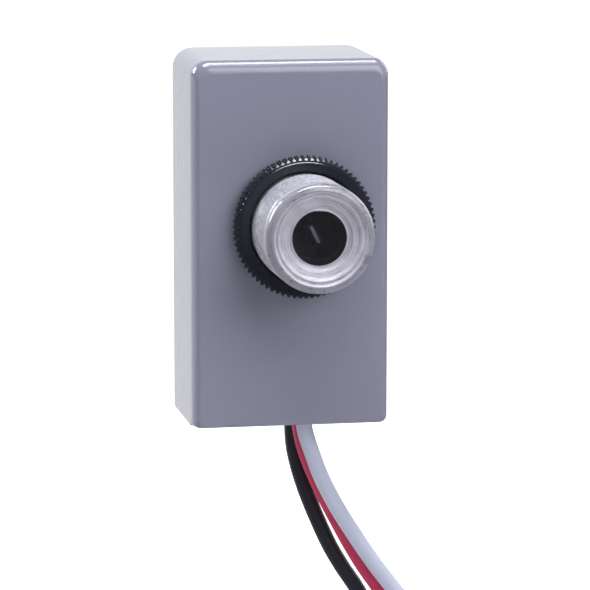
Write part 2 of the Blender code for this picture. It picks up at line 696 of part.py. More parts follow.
def make_light_sensor():
    """The flat sensor with a rounded ridge across its front and two long legs back to the board."""
    across, along, thick = SENSOR_SIZE
    turn = Matrix.Rotation(math.radians(SENSOR_TURN_DEG), 3, "Y")
    body = soft_block(0, 0, (across, along, thick), SENSOR_BACK, SENSOR_EDGE)
    bmesh.ops.rotate(body, verts=body.verts[:], cent=(0, 0, 0), matrix=turn)
    sensor = add_piece("light_sensor", body, make_material("sensor_resin", (0.06, 0.06, 0.08), 0.25))

    ridge = bmesh.new()
    made = bmesh.ops.create_cone(
        ridge,
        cap_ends=True,
        segments=LEG_SIDES,
        radius1=SENSOR_RIDGE_RADIUS,
        radius2=SENSOR_RIDGE_RADIUS,
        depth=SENSOR_RIDGE_LENGTH,
    )["verts"]
    level = Matrix.Rotation(math.pi / 2, 3, "Y")
    bmesh.ops.rotate(ridge, verts=made, cent=(0, 0, 0), matrix=turn @ level)
    bmesh.ops.translate(ridge, verts=made, vec=(0, SENSOR_BACK - along, 0))
    combine(sensor, "sensor_ridge", ridge, "UNION")

    legs = bmesh.new()
    for x, z in sensor_leg_places():
        add_rod(legs, x, z, LEG_RADIUS, SENSOR_BACK - along / 2, LEG_END)
    combine(sensor, "sensor_legs", legs, "UNION")
    return sensor_leg_places()


def add_legs(obj, places, start):
    """Joins straight legs to a component, from inside its body to behind the board, and returns their places."""
    legs = bmesh.new()
    for x, z in places:
        add_rod(legs, x, z, LEG_RADIUS, start, LEG_END)
    combine(obj, obj.name + "_legs", legs, "UNION")
    return places


def make_relay():
    """The sealed relay, in the lower left corner of the board: two coil legs and three contact legs."""
    width, height, length = RELAY_SIZE
    x, z = FREE_LEFT + width / 2, FREE_LOW + length / 2
    relay = add_piece("relay", soft_block(x, z, RELAY_SIZE), make_material("blue_pbt", (0.02, 0.07, 0.30), 0.4))
    side, end = width * 0.36, length * 0.40
    coil = [(x - side, z - end), (x + side, z - end)]
    contacts = [(x, z + end), (x - side, z + end / 2), (x + side, z + end / 2)]
    return add_legs(relay, coil + contacts, PART_BASE - height / 2)


def make_film_capacitor():
    """The mains dropper, a boxed film capacitor along the board's upper edge."""
    width, height, length = FILM_CAPACITOR_SIZE
    x, z = FREE_LEFT + width / 2, FREE_HIGH - length / 2
    material = make_material("yellow_polyester", (0.75, 0.52, 0.05), 0.35)
    capacitor = add_piece("film_capacitor", soft_block(x, z, FILM_CAPACITOR_SIZE), material)
    reach = width * 0.42
    return add_legs(capacitor, [(x - reach, z), (x + reach, z)], PART_BASE - height / 2)


def make_bridge_rectifier():
    """The four-legged rectifier, between the two columns and below the surge resistor."""
    width, height, length = BRIDGE_SIZE
    left_column = FREE_LEFT + RELAY_SIZE[0]
    right_column = FREE_RIGHT - 2 * SMOOTHING_RADIUS
    x = (left_column + right_column) / 2
    z = SURGE_RESISTOR_LOW - ROW_GAP - length / 2
    epoxy = make_material("black_epoxy", (0.02, 0.02, 0.02), 0.5)
    bridge = add_piece("bridge_rectifier", soft_block(x, z, BRIDGE_SIZE), epoxy)
    places = [(x + side * width * 0.3, z + end * length * 0.33) for side in (-1, 1) for end in (-1, 1)]
    return add_legs(bridge, places, PART_BASE - height / 2)


def make_can(name, x, z, radius, height, sleeve):
    """An electrolytic capacitor: a sleeved can with a crimp near its foot."""
    top = PART_BASE - height
    profile = [
        (0.0, PART_BASE),
        (radius - CAN_EDGE, PART_BASE),
        (radius, PART_BASE - CAN_EDGE),
        (radius, PART_BASE - CAN_CRIMP_HEIGHT * 0.7),
        (radius - CAN_CRIMP_DEPTH, PART_BASE - CAN_CRIMP_HEIGHT),
        (radius, PART_BASE - CAN_CRIMP_HEIGHT * 1.3),
        (radius, top + CAN_EDGE),
        (radius - CAN_EDGE, top),
        (0.0, top),
    ]
    bm = turned(profile, 28)
    bmesh.ops.translate(bm, verts=bm.verts[:], vec=(x, 0, z))
    can = add_piece(name, bm, make_material(name + "_sleeve", sleeve, 0.35))
    reach = radius * 0.45
    return add_legs(can, [(x, z - reach), (x, z + reach)], PART_BASE - height / 2)


def make_surge_varistor():
    """The coated disc, which stands on edge beside the film capacitor."""
    x = FREE_RIGHT - VARISTOR_THICKNESS / 2
    z = FREE_HIGH - VARISTOR_RADIUS
    y = PART_BASE - VARISTOR_STANDOFF - VARISTOR_RADIUS
    half = VARISTOR_THICKNESS / 2
    profile = [
        (0.0, -half),
        (VARISTOR_RADIUS - VARISTOR_EDGE, -half),
        (VARISTOR_RADIUS, -half + VARISTOR_EDGE),
        (VARISTOR_RADIUS, half - VARISTOR_EDGE),
        (VARISTOR_RADIUS - VARISTOR_EDGE, half),
        (0.0, half),
    ]
    bm = turned(profile, 28)
    bmesh.ops.rotate(bm, verts=bm.verts[:], cent=(0, 0, 0), matrix=Matrix.Rotation(math.pi / 2, 3, "Z"))
    bmesh.ops.translate(bm, verts=bm.verts[:], vec=(x, y, z))
    varistor = add_piece("surge_varistor", bm, make_material("blue_epoxy", (0.03, 0.10, 0.45), 0.3))
    reach = VARISTOR_RADIUS * 0.55
    return add_legs(varistor, [(x, z - reach), (x, z + reach)], y)


def make_switching_transistor():
    """The transistor that drives the relay: a round body with one flat, on three legs."""
    x, z = FREE_LEFT + TRANSISTOR_RADIUS, TRANSISTOR_Z
    foot = PART_BASE - TRANSISTOR_STANDOFF
    bm = bmesh.new()
    add_rod(bm, x, z, TRANSISTOR_RADIUS, foot - TRANSISTOR_HEIGHT, foot, sides=24)
    cut = bmesh.ops.bisect_plane(
        bm,
        geom=bm.verts[:] + bm.edges[:] + bm.faces[:],
        plane_co=(x, 0, z + TRANSISTOR_FLAT),
        plane_no=(0, 0, 1),
        clear_outer=True,
    )["geom_cut"]
    bmesh.ops.holes_fill(bm, edges=[item for item in cut if isinstance(item, bmesh.types.BMEdge)])
    transistor = add_piece("switching_transistor", bm, make_material("moulded_epoxy", (0.02, 0.02, 0.02), 0.45))
    places = [(x + step * TRANSISTOR_LEG_SPACING, z) for step in (-1, 0, 1)]
    return add_legs(transistor, places, foot - TRANSISTOR_HEIGHT / 2)


def make_axial(name, x, z, size, direction, colour):
    """A resistor or diode that lies on the board, its one wire bent down through the board at both ends."""
    radius, length, span = size
    y = PART_BASE - AXIAL_STANDOFF - radius
    half, neck = length / 2, radius * 0.86
    profile = [
        (0.0, -half),
        (radius * 0.7, -half),
        (radius, -half * 0.88),
        (radius, -half * 0.62),
        (neck, -half * 0.52),
        (neck, half * 0.52),
        (radius, half * 0.62),
        (radius, half * 0.88),
        (radius * 0.7, half),
        (0.0, half),
    ]
    bm = turned(profile)
    across = Matrix.Rotation(-math.pi / 2, 3, "Z") if direction == "X" else Matrix.Rotation(math.pi / 2, 3, "X")
    bmesh.ops.rotate(bm, verts=bm.verts[:], cent=(0, 0, 0), matrix=across)
    bmesh.ops.translate(bm, verts=bm.verts[:], vec=(x, y, z))
    body = add_piece(name, bm, make_material(name + "_coat", colour, 0.4))
    bend = 3 * LEG_RADIUS
    reach = span / 2
    path = [(-reach, LEG_END), (-reach, y + bend), (-reach + bend / 3, y + bend / 3), (-reach + bend, y)]
    path += [(-along, depth) for along, depth in reversed(path)]
    if direction == "X":
        points = [(x + along, depth, z) for along, depth in path]
        places = [(x - reach, z), (x + reach, z)]
    else:
        points = [(x, depth, z + along) for along, depth in path]
        places = [(x, z - reach), (x, z + reach)]
    combine(body, name + "_wire", bent_wire(points, LEG_RADIUS), "UNION")
    return places


def make_circuit_board(leg_places, lead_places):
    """The board, held between the ribs, drilled for every leg and lead."""
    bm = bmesh.new()
    add_box(
        bm,
        (INNER_LEFT + SEAT_GAP, BOARD_FRONT, BOARD_LOW),
        (INNER_RIGHT - SEAT_GAP, BOARD_BACK, BOARD_HIGH),
    )
    through = [edge for edge in bm.edges if abs(edge.verts[0].co.y - edge.verts[1].co.y) > BOARD_THICKNESS / 2]
    round_edges(bm, through, CAVITY_RADIUS, segments=3)
    board = add_piece("circuit_board", bm, make_material("green_fr4", (0.03, 0.18, 0.06), 0.4))
    holes = bmesh.new()
    for x, z in leg_places:
        add_rod(holes, x, z, LEG_RADIUS + LEG_CLEARANCE, BOARD_FRONT - WALL, BOARD_BACK + WALL)
    for x, z in lead_places:
        add_rod(holes, x, z, CONDUCTOR_RADIUS + LEG_CLEARANCE, BOARD_FRONT - WALL, BOARD_BACK + WALL)
    combine(board, "board_holes", holes, "DIFFERENCE")


def make_lead(name, route, colour):
    """One insulated lead with its soldered end at the board and its stripped, tinned free end."""
    points = smooth_route(route)
    lead = tube_object(name, points, LEAD_DIAMETER, bpy.data.curves.new(name, "CURVE"))
    lead.data.materials.append(make_material(name + "_pvc", colour, 0.35))
    tin = make_material(name + "_tin", (0.62, 0.61, 0.58), 0.3, metallic=1.0)

    x, start, z = route[0]
    solder = BOARD_BACK + SEAT_GAP
    profile = [
        (0.0, start + SEAT_GAP),
        (CONDUCTOR_RADIUS, start + SEAT_GAP),
        (CONDUCTOR_RADIUS, solder),
        (SOLDER_RADIUS, solder),
        (SOLDER_RADIUS * 0.6, solder + SOLDER_HEIGHT * 0.6),
        (0.0, solder + SOLDER_HEIGHT),
    ]
    joint = turned(profile, 14)
    bmesh.ops.translate(joint, verts=joint.verts[:], vec=(x, 0, z))
    add_piece(name + "_joint", joint, tin)

    end = Vector(points[-1])
    down = (end - Vector(points[-2])).normalized()
    tip = bmesh.new()
    made = bmesh.ops.create_cone(
        tip,
        cap_ends=True,
        segments=14,
        radius1=CONDUCTOR_RADIUS,
        radius2=CONDUCTOR_RADIUS,
        depth=TIP_LENGTH,
    )["verts"]
    bmesh.ops.rotate(tip, verts=made, cent=(0, 0, 0), matrix=down.to_track_quat("Z", "Y").to_matrix())
    bmesh.ops.translate(tip, verts=made, vec=end + down * (SEAT_GAP + TIP_LENGTH / 2))
    add_piece(name + "_tip", tip, tin)
    return (x, z)


def main():
    """Makes every piece, the board last, when all its holes are known."""
    clear_scene()
    make_housing()
    make_bottom_plate()
    make_lens_stem()
    make_lock_nut()
    make_sensor_shroud()
    small_radius = SMALL_RESISTOR[0]
    delay_z = FREE_LOW + DELAY_RADIUS
    smoothing_z = delay_z + DELAY_RADIUS + ROW_GAP + SMOOTHING_RADIUS
    film_low = FREE_HIGH - FILM_CAPACITOR_SIZE[2]
    bleed_x = FREE_LEFT + FILM_CAPACITOR_SIZE[0] / 2
    gain_x = FREE_LEFT + ROW_GAP + small_radius
    hysteresis_x = FREE_RIGHT - ROW_GAP - small_radius
    coat = (0.35, 0.45, 0.55)
    black = (0.02, 0.02, 0.02)
    legs = [
        *make_light_sensor(),
        *make_relay(),
        *make_film_capacitor(),
        *make_bridge_rectifier(),
        *make_surge_varistor(),
        *make_switching_transistor(),
        *make_can("smoothing_capacitor", FREE_RIGHT - SMOOTHING_RADIUS, smoothing_z,
                  SMOOTHING_RADIUS, SMOOTHING_HEIGHT, (0.02, 0.03, 0.05)),
        *make_can("delay_capacitor", FREE_RIGHT - DELAY_RADIUS, delay_z,
                  DELAY_RADIUS, DELAY_HEIGHT, (0.05, 0.05, 0.06)),
        *make_axial("surge_resistor", 0.0, SURGE_RESISTOR_Z, POWER_RESISTOR, "X", (0.45, 0.50, 0.40)),
        *make_axial("zener_diode", ZENER_X, DIODE_Z, DIODE, "X", (0.55, 0.15, 0.05)),
        *make_axial("flyback_diode", FLYBACK_X, DIODE_Z, DIODE, "X", black),
        *make_axial("bleed_resistor", bleed_x, film_low - ROW_GAP - small_radius, SMALL_RESISTOR, "X", coat),
        *make_axial("gain_resistor", gain_x, GAIN_RESISTOR_Z, SMALL_RESISTOR, "Z", coat),
        *make_axial("hysteresis_resistor", hysteresis_x, HYSTERESIS_RESISTOR_Z, SMALL_RESISTOR, "Z", coat),
    ]
    leads = [
        make_lead("white_lead", LEAD_ROUTES["white_lead"], (0.62, 0.66, 0.76)),
        make_lead("red_lead", LEAD_ROUTES["red_lead"], (0.62, 0.03, 0.08)),
        make_lead("black_lead", LEAD_ROUTES["black_lead"], (0.02, 0.02, 0.03)),
    ]
    make_circuit_board(legs, leads)


if __name__ == "__main__":
    main()
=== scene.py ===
"""Looks of the photocell switch: finishes, fine meshes, leads, studio and camera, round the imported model."""

import logging
import math
from dataclasses import dataclass
from enum import Enum, IntEnum
from functools import cache

import bmesh
import bpy
import numpy as np
from bpy.types import Material, NodeSocket, NodeTree, Object, ShaderNode
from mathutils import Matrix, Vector


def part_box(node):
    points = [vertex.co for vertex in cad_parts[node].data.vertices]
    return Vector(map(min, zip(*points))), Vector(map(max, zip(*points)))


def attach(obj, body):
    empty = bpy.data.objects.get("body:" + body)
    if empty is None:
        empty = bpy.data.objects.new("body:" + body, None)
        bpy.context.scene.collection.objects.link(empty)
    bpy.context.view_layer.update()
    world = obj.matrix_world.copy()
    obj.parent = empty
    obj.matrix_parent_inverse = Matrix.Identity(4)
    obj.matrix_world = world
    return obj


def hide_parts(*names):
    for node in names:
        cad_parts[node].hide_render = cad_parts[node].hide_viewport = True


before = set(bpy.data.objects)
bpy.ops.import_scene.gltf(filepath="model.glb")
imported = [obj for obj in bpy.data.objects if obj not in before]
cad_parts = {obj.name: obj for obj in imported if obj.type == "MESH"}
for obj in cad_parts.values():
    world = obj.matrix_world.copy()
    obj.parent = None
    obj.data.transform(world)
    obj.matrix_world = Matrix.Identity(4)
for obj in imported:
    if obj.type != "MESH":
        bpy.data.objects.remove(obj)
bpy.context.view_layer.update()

MM = 0.001
COAT_ROUGHNESS = 0.08
# The wave texture makes this many radians of wave over one unit at a scale of 1.
WAVES_PER_UNIT = 20
# Nearly all of a noise texture lies between these values.
NOISE_LOW, NOISE_HIGH = 0.3, 0.7
# In metres: points nearer than SAME are one place, and MERGE joins what a full turn brings together.
SAME = 1e-6
MERGE = 1e-7
# Facets of one flat face of the CAD differ by less than this.
FLAT_DEG = 0.5
SHARP_DEG = 32
# 50 is neutral, and above it the larger faces decide the normals.
LARGE_FACE_WEIGHT = 100
# Where a short arc or slope has its points, as shares of the way along it.
ARC_SHARES = (0.0, 0.33, 0.67, 1.0)
log = logging.getLogger("photocell_switch")

Colour = tuple[float, float, float, float]
Point = tuple[float, float, float]
# A point of a profile, as (out, along) in metres.
Place = tuple[float, float]
Span = tuple[float, float]

# Each lead's route in metres, the same points as in the part's source.
WHITE_ROUTE: list[Point] = [
    (0.0017, 0.0172, -0.0202), (0.0017, 0.0148, -0.0202), (0.0017, 0.0123, -0.0203),
    (0.0017, 0.0097, -0.0210), (0.0017, 0.0077, -0.0230), (0.0017, 0.0070, -0.0255),
    (0.0016, 0.0069, -0.0290), (0.0016, 0.0069, -0.0330), (0.0018, 0.0069, -0.0366),
    (0.0030, 0.0069, -0.0405), (0.0049, 0.0069, -0.0455), (0.0077, 0.0069, -0.0509),
    (0.0116, 0.0069, -0.0571), (0.0146, 0.0070, -0.0615), (0.0180, 0.0071, -0.0660),
    (0.0229, 0.0074, -0.0730), (0.0275, 0.0078, -0.0810), (0.0309, 0.0083, -0.0900),
    (0.0331, 0.0088, -0.1000), (0.0343, 0.0093, -0.1105), (0.0348, 0.0097, -0.1215),
    (0.0350, 0.0100, -0.1330), (0.0351, 0.0102, -0.1450), (0.0355, 0.0104, -0.1680),
]
RED_ROUTE: list[Point] = [
    (0.0016, 0.0172, -0.0236), (0.0016, 0.0153, -0.0236), (0.0016, 0.0127, -0.0244),
    (0.0016, 0.0107, -0.0264), (0.0016, 0.0101, -0.0288), (0.0015, 0.0100, -0.0325),
    (0.0015, 0.0100, -0.0364), (0.0025, 0.0100, -0.0410), (0.0045, 0.0100, -0.0461),
    (0.0071, 0.0100, -0.0515), (0.0104, 0.0101, -0.0577), (0.0131, 0.0102, -0.0622),
    (0.0161, 0.0104, -0.0666), (0.0203, 0.0108, -0.0735), (0.0240, 0.0112, -0.0815),
    (0.0266, 0.0117, -0.0905), (0.0282, 0.0122, -0.1003), (0.0290, 0.0127, -0.1110),
    (0.0293, 0.0131, -0.1220), (0.0293, 0.0134, -0.1335), (0.0292, 0.0136, -0.1450),
    (0.0290, 0.0138, -0.1695),
]
BLACK_ROUTE: list[Point] = [
    (0.0008, 0.0172, -0.0272), (0.0008, 0.0161, -0.0272), (0.0008, 0.0147, -0.0279),
    (0.0008, 0.0136, -0.0292), (0.0008, 0.0131, -0.0312), (0.0007, 0.0131, -0.0345),
    (0.0007, 0.0131, -0.0378), (0.0011, 0.0131, -0.0416), (0.0024, 0.0131, -0.0466),
    (0.0044, 0.0131, -0.0520), (0.0072, 0.0131, -0.0583), (0.0097, 0.0132, -0.0627),
    (0.0125, 0.0134, -0.0670), (0.0161, 0.0138, -0.0740), (0.0191, 0.0143, -0.0820),
    (0.0212, 0.0149, -0.0910), (0.0224, 0.0155, -0.1008), (0.0229, 0.0160, -0.1115),
    (0.0230, 0.0164, -0.1225), (0.0229, 0.0167, -0.1340), (0.0227, 0.0169, -0.1455),
    (0.0225, 0.0171, -0.1715),
]


def linear(code: str) -> Colour:
    """Turns an sRGB hex colour into a linear one.

    Args:
        code: Six hex digits, with no sign before them.

    Returns:
        Red, green, blue and an alpha of 1.
    """
    parts = [int(code[start:start + 2], 16) / 255 for start in (0, 2, 4)]
    red, green, blue = [
        part / 12.92 if part <= 0.04045 else ((part + 0.055) / 1.055) ** 2.4 for part in parts
    ]
    return red, green, blue, 1.0


WHITE = linear("FFFFFF")


def add_node(
    tree: NodeTree, kind: str, values: dict | None = None, links: dict | None = None, **settings: object,
) -> ShaderNode:
    """Adds a node with its settings, constants and links.

    Args:
        tree: The node tree that it goes into.
        kind: The node's type, without the ShaderNode prefix.
        values: Input names or numbers, and what each is set to; the rest keep Blender's own.
        links: Input names or numbers, and the output that feeds each.
        settings: Properties of the node itself.

    Returns:
        The new node.
    """
    node = tree.nodes.new("ShaderNode" + kind)
    for key, value in settings.items():
        setattr(node, key, value)
    for key, value in (values or {}).items():
        node.inputs[key].default_value = value
    for key, output in (links or {}).items():
        tree.links.new(output, node.inputs[key])
    return node


@dataclass(frozen=True)
class Finish:
    """A plastic, metal or lacquer surface with a fine grain and a faint unevenness of gloss."""

    name: str
    colour: str
    roughness: float = 0.4
    ior: float = 1.5
    metallic: float = 0.0
    transmission: float = 0.0
    coat: float = 0.0
    scatter_mm: float = 0.0
    grain_mm: float = 0.25
    grain_depth_mm: float = 0.004
    mottle_mm: float = 6.0
    mottle: float = 0.04
    tint: str = ""
    # How much larger the patches of colour are than those of gloss, and how dark they are with no tint.
    patch: float = 4.0
    shade: float = 0.94

    def build(self) -> Material:
        """Makes the material: the shader's own values first, then the patterns that feed it.

        Returns:
            The new material.
        """
        material = bpy.data.materials.new(self.name)
        material.use_nodes = True
        tree = material.node_tree
        shader = tree.nodes["Principled BSDF"]
        constants = {
            "Base Color": linear(self.colour), "Metallic": self.metallic, "IOR": self.ior,
            "Transmission Weight": self.transmission, "Coat Weight": self.coat,
            "Coat Roughness": COAT_ROUGHNESS,
        }
        if self.scatter_mm:
            constants |= {
                "Subsurface Weight": 1.0, "Subsurface Radius": (1.0, 1.0, 1.0),
                "Subsurface Scale": self.scatter_mm * MM,
            }
        for key, value in constants.items():
            shader.inputs[key].default_value = value
        coordinates = add_node(tree, "TexCoord").outputs["Object"]
        self.grain(tree, shader, coordinates)
        self.gloss(tree, shader, coordinates)
        self.pattern(tree, shader, coordinates)
        return material

    def darker(self) -> Colour:
        """The base colour in its shade."""
        return tuple(channel * self.shade for channel in linear(self.colour)[:3]) + (1.0,)

    def grain(self, tree: NodeTree, shader: ShaderNode, coordinates: NodeSocket) -> None:
        """Feeds the fine bump of the mould or the coat to the shader's normal.

        Args:
            tree: The material's node tree.
            shader: The shader that it feeds.
            coordinates: The place on the piece, in metres.
        """
        noise = add_node(
            tree, "TexNoise", {"Scale": 1 / (self.grain_mm * MM), "Detail": 3.0, "Roughness": 0.55},
            {"Vector": coordinates},
        )
        bump = add_node(
            tree, "Bump", {"Strength": 1.0, "Distance": self.grain_depth_mm * MM},
            {"Height": noise.outputs["Fac"]},
        )
        tree.links.new(bump.outputs["Normal"], shader.inputs["Normal"])

    def gloss(self, tree: NodeTree, shader: ShaderNode, coordinates: NodeSocket) -> None:
        """Feeds a slow, faint change of roughness to the shader.

        Args:
            tree: The material's node tree.
            shader: The shader that it feeds.
            coordinates: The place on the piece, in metres.
        """
        noise = add_node(
            tree, "TexNoise", {"Scale": 1 / (self.mottle_mm * MM), "Detail": 4.0}, {"Vector": coordinates},
        )
        spread = add_node(
            tree, "MapRange",
            {"From Min": NOISE_LOW, "From Max": NOISE_HIGH, "To Min": self.roughness - self.mottle,
             "To Max": self.roughness + self.mottle},
            {"Value": noise.outputs["Fac"]},
        )
        tree.links.new(spread.outputs["Result"], shader.inputs["Roughness"])

    def pattern(self, tree: NodeTree, shader: ShaderNode, coordinates: NodeSocket) -> None:
        """Colours the surface beyond its one base colour; a finish with no tint gets a faint shade.

        Args:
            tree: The material's node tree.
            shader: The shader that it feeds.
            coordinates: The place on the piece, in metres.
        """
        noise = add_node(
            tree, "TexNoise", {"Scale": 1 / (self.patch * self.mottle_mm * MM), "Detail": 2.0},
            {"Vector": coordinates},
        )
        other = linear(self.tint) if self.tint else self.darker()
        mix = add_node(
            tree, "Mix", {"A": other, "B": linear(self.colour)}, {"Factor": noise.outputs["Fac"]},
            data_type="RGBA",
        )
        tree.links.new(mix.outputs["Result"], shader.inputs["Base Color"])


@dataclass(frozen=True)
class Laminate(Finish):
    """Circuit board laminate: solder mask over a faint glass weave."""

    shade: float = 0.8
    weave_mm: float = 0.5
    weave_wander: float = 0.6

    def pattern(self, tree: NodeTree, shader: ShaderNode, coordinates: NodeSocket) -> None:
        """Darkens the mask between the threads of the cloth under it.

        Args:
            tree: The material's node tree.
            shader: The shader that it feeds.
            coordinates: The place on the piece, in metres.
        """
        scale = math.tau / (WAVES_PER_UNIT * self.weave_mm * MM)
        waves = [
            add_node(
                tree, "TexWave", {"Scale": scale, "Distortion": self.weave_wander}, {"Vector": coordinates},
                bands_direction=direction,
            ).outputs["Fac"]
            for direction in ("X", "Z")
        ]
        cloth = add_node(tree, "Math", {}, {0: waves[0], 1: waves[1]}, operation="MULTIPLY")
        mix = add_node(
            tree, "Mix", {"A": self.darker(), "B": linear(self.colour)}, {"Factor": cloth.outputs[0]},
            data_type="RGBA",
        )
        tree.links.new(mix.outputs["Result"], shader.inputs["Base Color"])


@dataclass(frozen=True)
class TurnedFinish(Finish):
    """A surface with fine rings round the Y axis, left by the mould's turned core."""

    ring_mm: float = 0.5
    ring_depth_mm: float = 0.03
    ring_wander: float = 4.0
    groove_painted_shade: float = 0.28
    # The part of a ring's height over which its groove is darkened with painted shade.
    groove_height: float = 0.5
    wear_mm: float = 2.5
    # The rings are whole where the noise is below the first value, and worn away above the second.
    wear_span: Span = (0.42, 0.62)

    def grain(self, tree: NodeTree, shader: ShaderNode, coordinates: NodeSocket) -> None:
        """Feeds the rings and the grain together to the shader's normal.

        Args:
            tree: The material's node tree.
            shader: The shader that it feeds.
            coordinates: The place on the piece, in metres.
        """
        rings = self.rings(tree, coordinates)
        noise = add_node(
            tree, "TexNoise", {"Scale": 1 / (self.grain_mm * MM), "Detail": 3.0}, {"Vector": coordinates},
        )
        fine = add_node(
            tree, "Bump", {"Strength": 1.0, "Distance": self.grain_depth_mm * MM},
            {"Height": noise.outputs["Fac"]},
        )
        bump = add_node(
            tree, "Bump", {"Strength": 1.0, "Distance": self.ring_depth_mm * MM},
            {"Height": rings, "Normal": fine.outputs["Normal"]},
        )
        tree.links.new(bump.outputs["Normal"], shader.inputs["Normal"])

    def rings(self, tree: NodeTree, coordinates: NodeSocket) -> NodeSocket:
        """The turned rings, worn away in places.

        Args:
            tree: The material's node tree.
            coordinates: The place on the piece, in metres.

        Returns:
            The height, from 0 in a groove to 1 on a ridge.
        """
        wave = add_node(
            tree, "TexWave",
            {"Scale": math.tau / (WAVES_PER_UNIT * self.ring_mm * MM), "Distortion": self.ring_wander,
             "Detail": 3.0, "Detail Scale": 1.5},
            {"Vector": coordinates}, wave_type="RINGS", rings_direction="Y",
        )
        patches = add_node(
            tree, "TexNoise", {"Scale": 1 / (self.wear_mm * MM), "Detail": 2.0}, {"Vector": coordinates},
        )
        worn = add_node(
            tree, "MapRange", {"From Min": self.wear_span[0], "From Max": self.wear_span[1]},
            {"Value": patches.outputs["Fac"]},
        )
        return add_node(
            tree, "Math", {}, {0: wave.outputs["Fac"], 1: worn.outputs["Result"]}, operation="MAXIMUM",
        ).outputs[0]

    def pattern(self, tree: NodeTree, shader: ShaderNode, coordinates: NodeSocket) -> None:
        """Drifts slowly between the base colour and its tint, and paints shade into the grooves of the rings.

        Args:
            tree: The material's node tree.
            shader: The shader that it feeds.
            coordinates: The place on the piece, in metres.
        """
        slow = add_node(
            tree, "TexNoise", {"Scale": 1 / (self.mottle_mm * MM), "Detail": 3.0}, {"Vector": coordinates},
        )
        drift = add_node(
            tree, "Mix", {"A": linear(self.tint), "B": linear(self.colour)}, {"Factor": slow.outputs["Fac"]},
            data_type="RGBA",
        )
        # Painted shade in the grooves of the rings.
        depth = add_node(
            tree, "MapRange", {"From Max": self.groove_height, "To Min": 1 - self.groove_painted_shade},
            {"Value": self.rings(tree, coordinates)},
        )
        shaded = add_node(
            tree, "VectorMath", {}, {0: drift.outputs["Result"], "Scale": depth.outputs["Result"]},
            operation="SCALE",
        )
        tree.links.new(shaded.outputs["Vector"], shader.inputs["Base Color"])


@dataclass(frozen=True)
class ThreadedFinish(Finish):
    """A frosted thread round the Y axis, with painted highlight on its crests and painted shade in its
    grooves.
    """

    # The colour of the painted shade in the grooves; the crests take the base colour as their painted
    # highlight.
    groove: str = "85838F"
    crest_mm: float = 9.25
    depth_mm: float = 0.3
    crest_highlight_mm: float = 0.04
    speckle_mm: float = 0.55
    # How much of the crests' painted highlight a speck keeps, and the noise over which a speck turns back to
    # full highlight.
    speck_highlight: float = 0.25
    speck_span: Span = (0.38, 0.60)

    def pattern(self, tree: NodeTree, shader: ShaderNode, coordinates: NodeSocket) -> None:
        """Turns from the grooves' painted shade to the crests' painted highlight with the distance from the
        axis, broken by specks at random.

        Args:
            tree: The material's node tree.
            shader: The shader that it feeds.
            coordinates: The place on the piece, in metres.
        """
        place = add_node(tree, "SeparateXYZ", {}, {"Vector": coordinates})
        across = add_node(tree, "CombineXYZ", {}, {"X": place.outputs["X"], "Z": place.outputs["Z"]})
        out = add_node(tree, "VectorMath", {}, {0: across.outputs["Vector"]}, operation="LENGTH")
        share = add_node(
            tree, "MapRange",
            {"From Min": (self.crest_mm - self.depth_mm) * MM,
             "From Max": (self.crest_mm - self.crest_highlight_mm) * MM},
            {"Value": out.outputs["Value"]},
        )
        specks = add_node(
            tree, "TexNoise", {"Scale": 1 / (self.speckle_mm * MM), "Detail": 1.0}, {"Vector": coordinates},
        )
        highlight_specks = add_node(
            tree, "MapRange",
            {"From Min": self.speck_span[0], "From Max": self.speck_span[1], "To Min": self.speck_highlight},
            {"Value": specks.outputs["Fac"]},
        )
        bright = add_node(
            tree, "Math", {}, {0: share.outputs["Result"], 1: highlight_specks.outputs["Result"]},
            operation="MULTIPLY",
        )
        # Painted shade in the grooves, painted highlight on the crests.
        mix = add_node(
            tree, "Mix", {"A": linear(self.groove), "B": linear(self.colour)}, {"Factor": bright.outputs[0]},
            data_type="RGBA",
        )
        tree.links.new(mix.outputs["Result"], shader.inputs["Base Color"])


@dataclass(frozen=True)
class RidgedResin(Finish):
    """Smoked resin with a painted highlight along the ridge on the sensor's face."""

    ridge: str = "ECE8DC"
    ridge_mm: float = 0.27
    # The painted highlight gives way to the dark resin from this share of the ridge's height on.
    ridge_edge: float = 0.9

    def pattern(self, tree: NodeTree, shader: ShaderNode, coordinates: NodeSocket) -> None:
        """Paints a pale highlight only within the ridge's height from the front.

        Args:
            tree: The material's node tree.
            shader: The shader that it feeds.
            coordinates: The place on the piece, in metres.
        """
        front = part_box("light_sensor")[0].y
        depth = add_node(tree, "SeparateXYZ", {}, {"Vector": coordinates})
        share = add_node(
            tree, "MapRange",
            {"From Min": front + self.ridge_edge * self.ridge_mm * MM,
             "From Max": front + self.ridge_mm * MM},
            {"Value": depth.outputs["Y"]},
        )
        # A painted highlight along the ridge, where it would catch the light.
        mix = add_node(
            tree, "Mix", {"A": linear(self.ridge), "B": linear(self.colour)},
            {"Factor": share.outputs["Result"]}, data_type="RGBA",
        )
        tree.links.new(mix.outputs["Result"], shader.inputs["Base Color"])


# Moulded housing: satin grey polycarbonate, a very fine eroded grain and a slow unevenness of gloss.
GREY_POLYCARBONATE = Finish(
    "grey_polycarbonate", "838496", roughness=0.15, grain_mm=0.22, grain_depth_mm=0.0015, mottle_mm=9.0,
    mottle=0.02,
)
# Bottom plate: the same plastic, duller and darker.
GREY_PLATE = Finish("grey_plate", "767789", roughness=0.45, grain_mm=0.3)
# Stem: clear polycarbonate, polished over the lens, with the faint haze of the moulded plastic.
CLEAR_POLYCARBONATE = Finish(
    "clear_polycarbonate", "E8E6FB", roughness=0.05, ior=1.585, transmission=0.995, grain_mm=0.6,
    grain_depth_mm=0.002, mottle=0.02,
)
# The same plastic where the mould's turned core leaves it frosted: it scatters most of the light.
FROSTED_POLYCARBONATE = TurnedFinish(
    "frosted_polycarbonate", "D2D4E0", roughness=0.38, ior=1.585, transmission=0.15, coat=0.4,
    scatter_mm=0.35, grain_mm=0.3, mottle=0.06, mottle_mm=2.0, tint="B9B2C0",
)
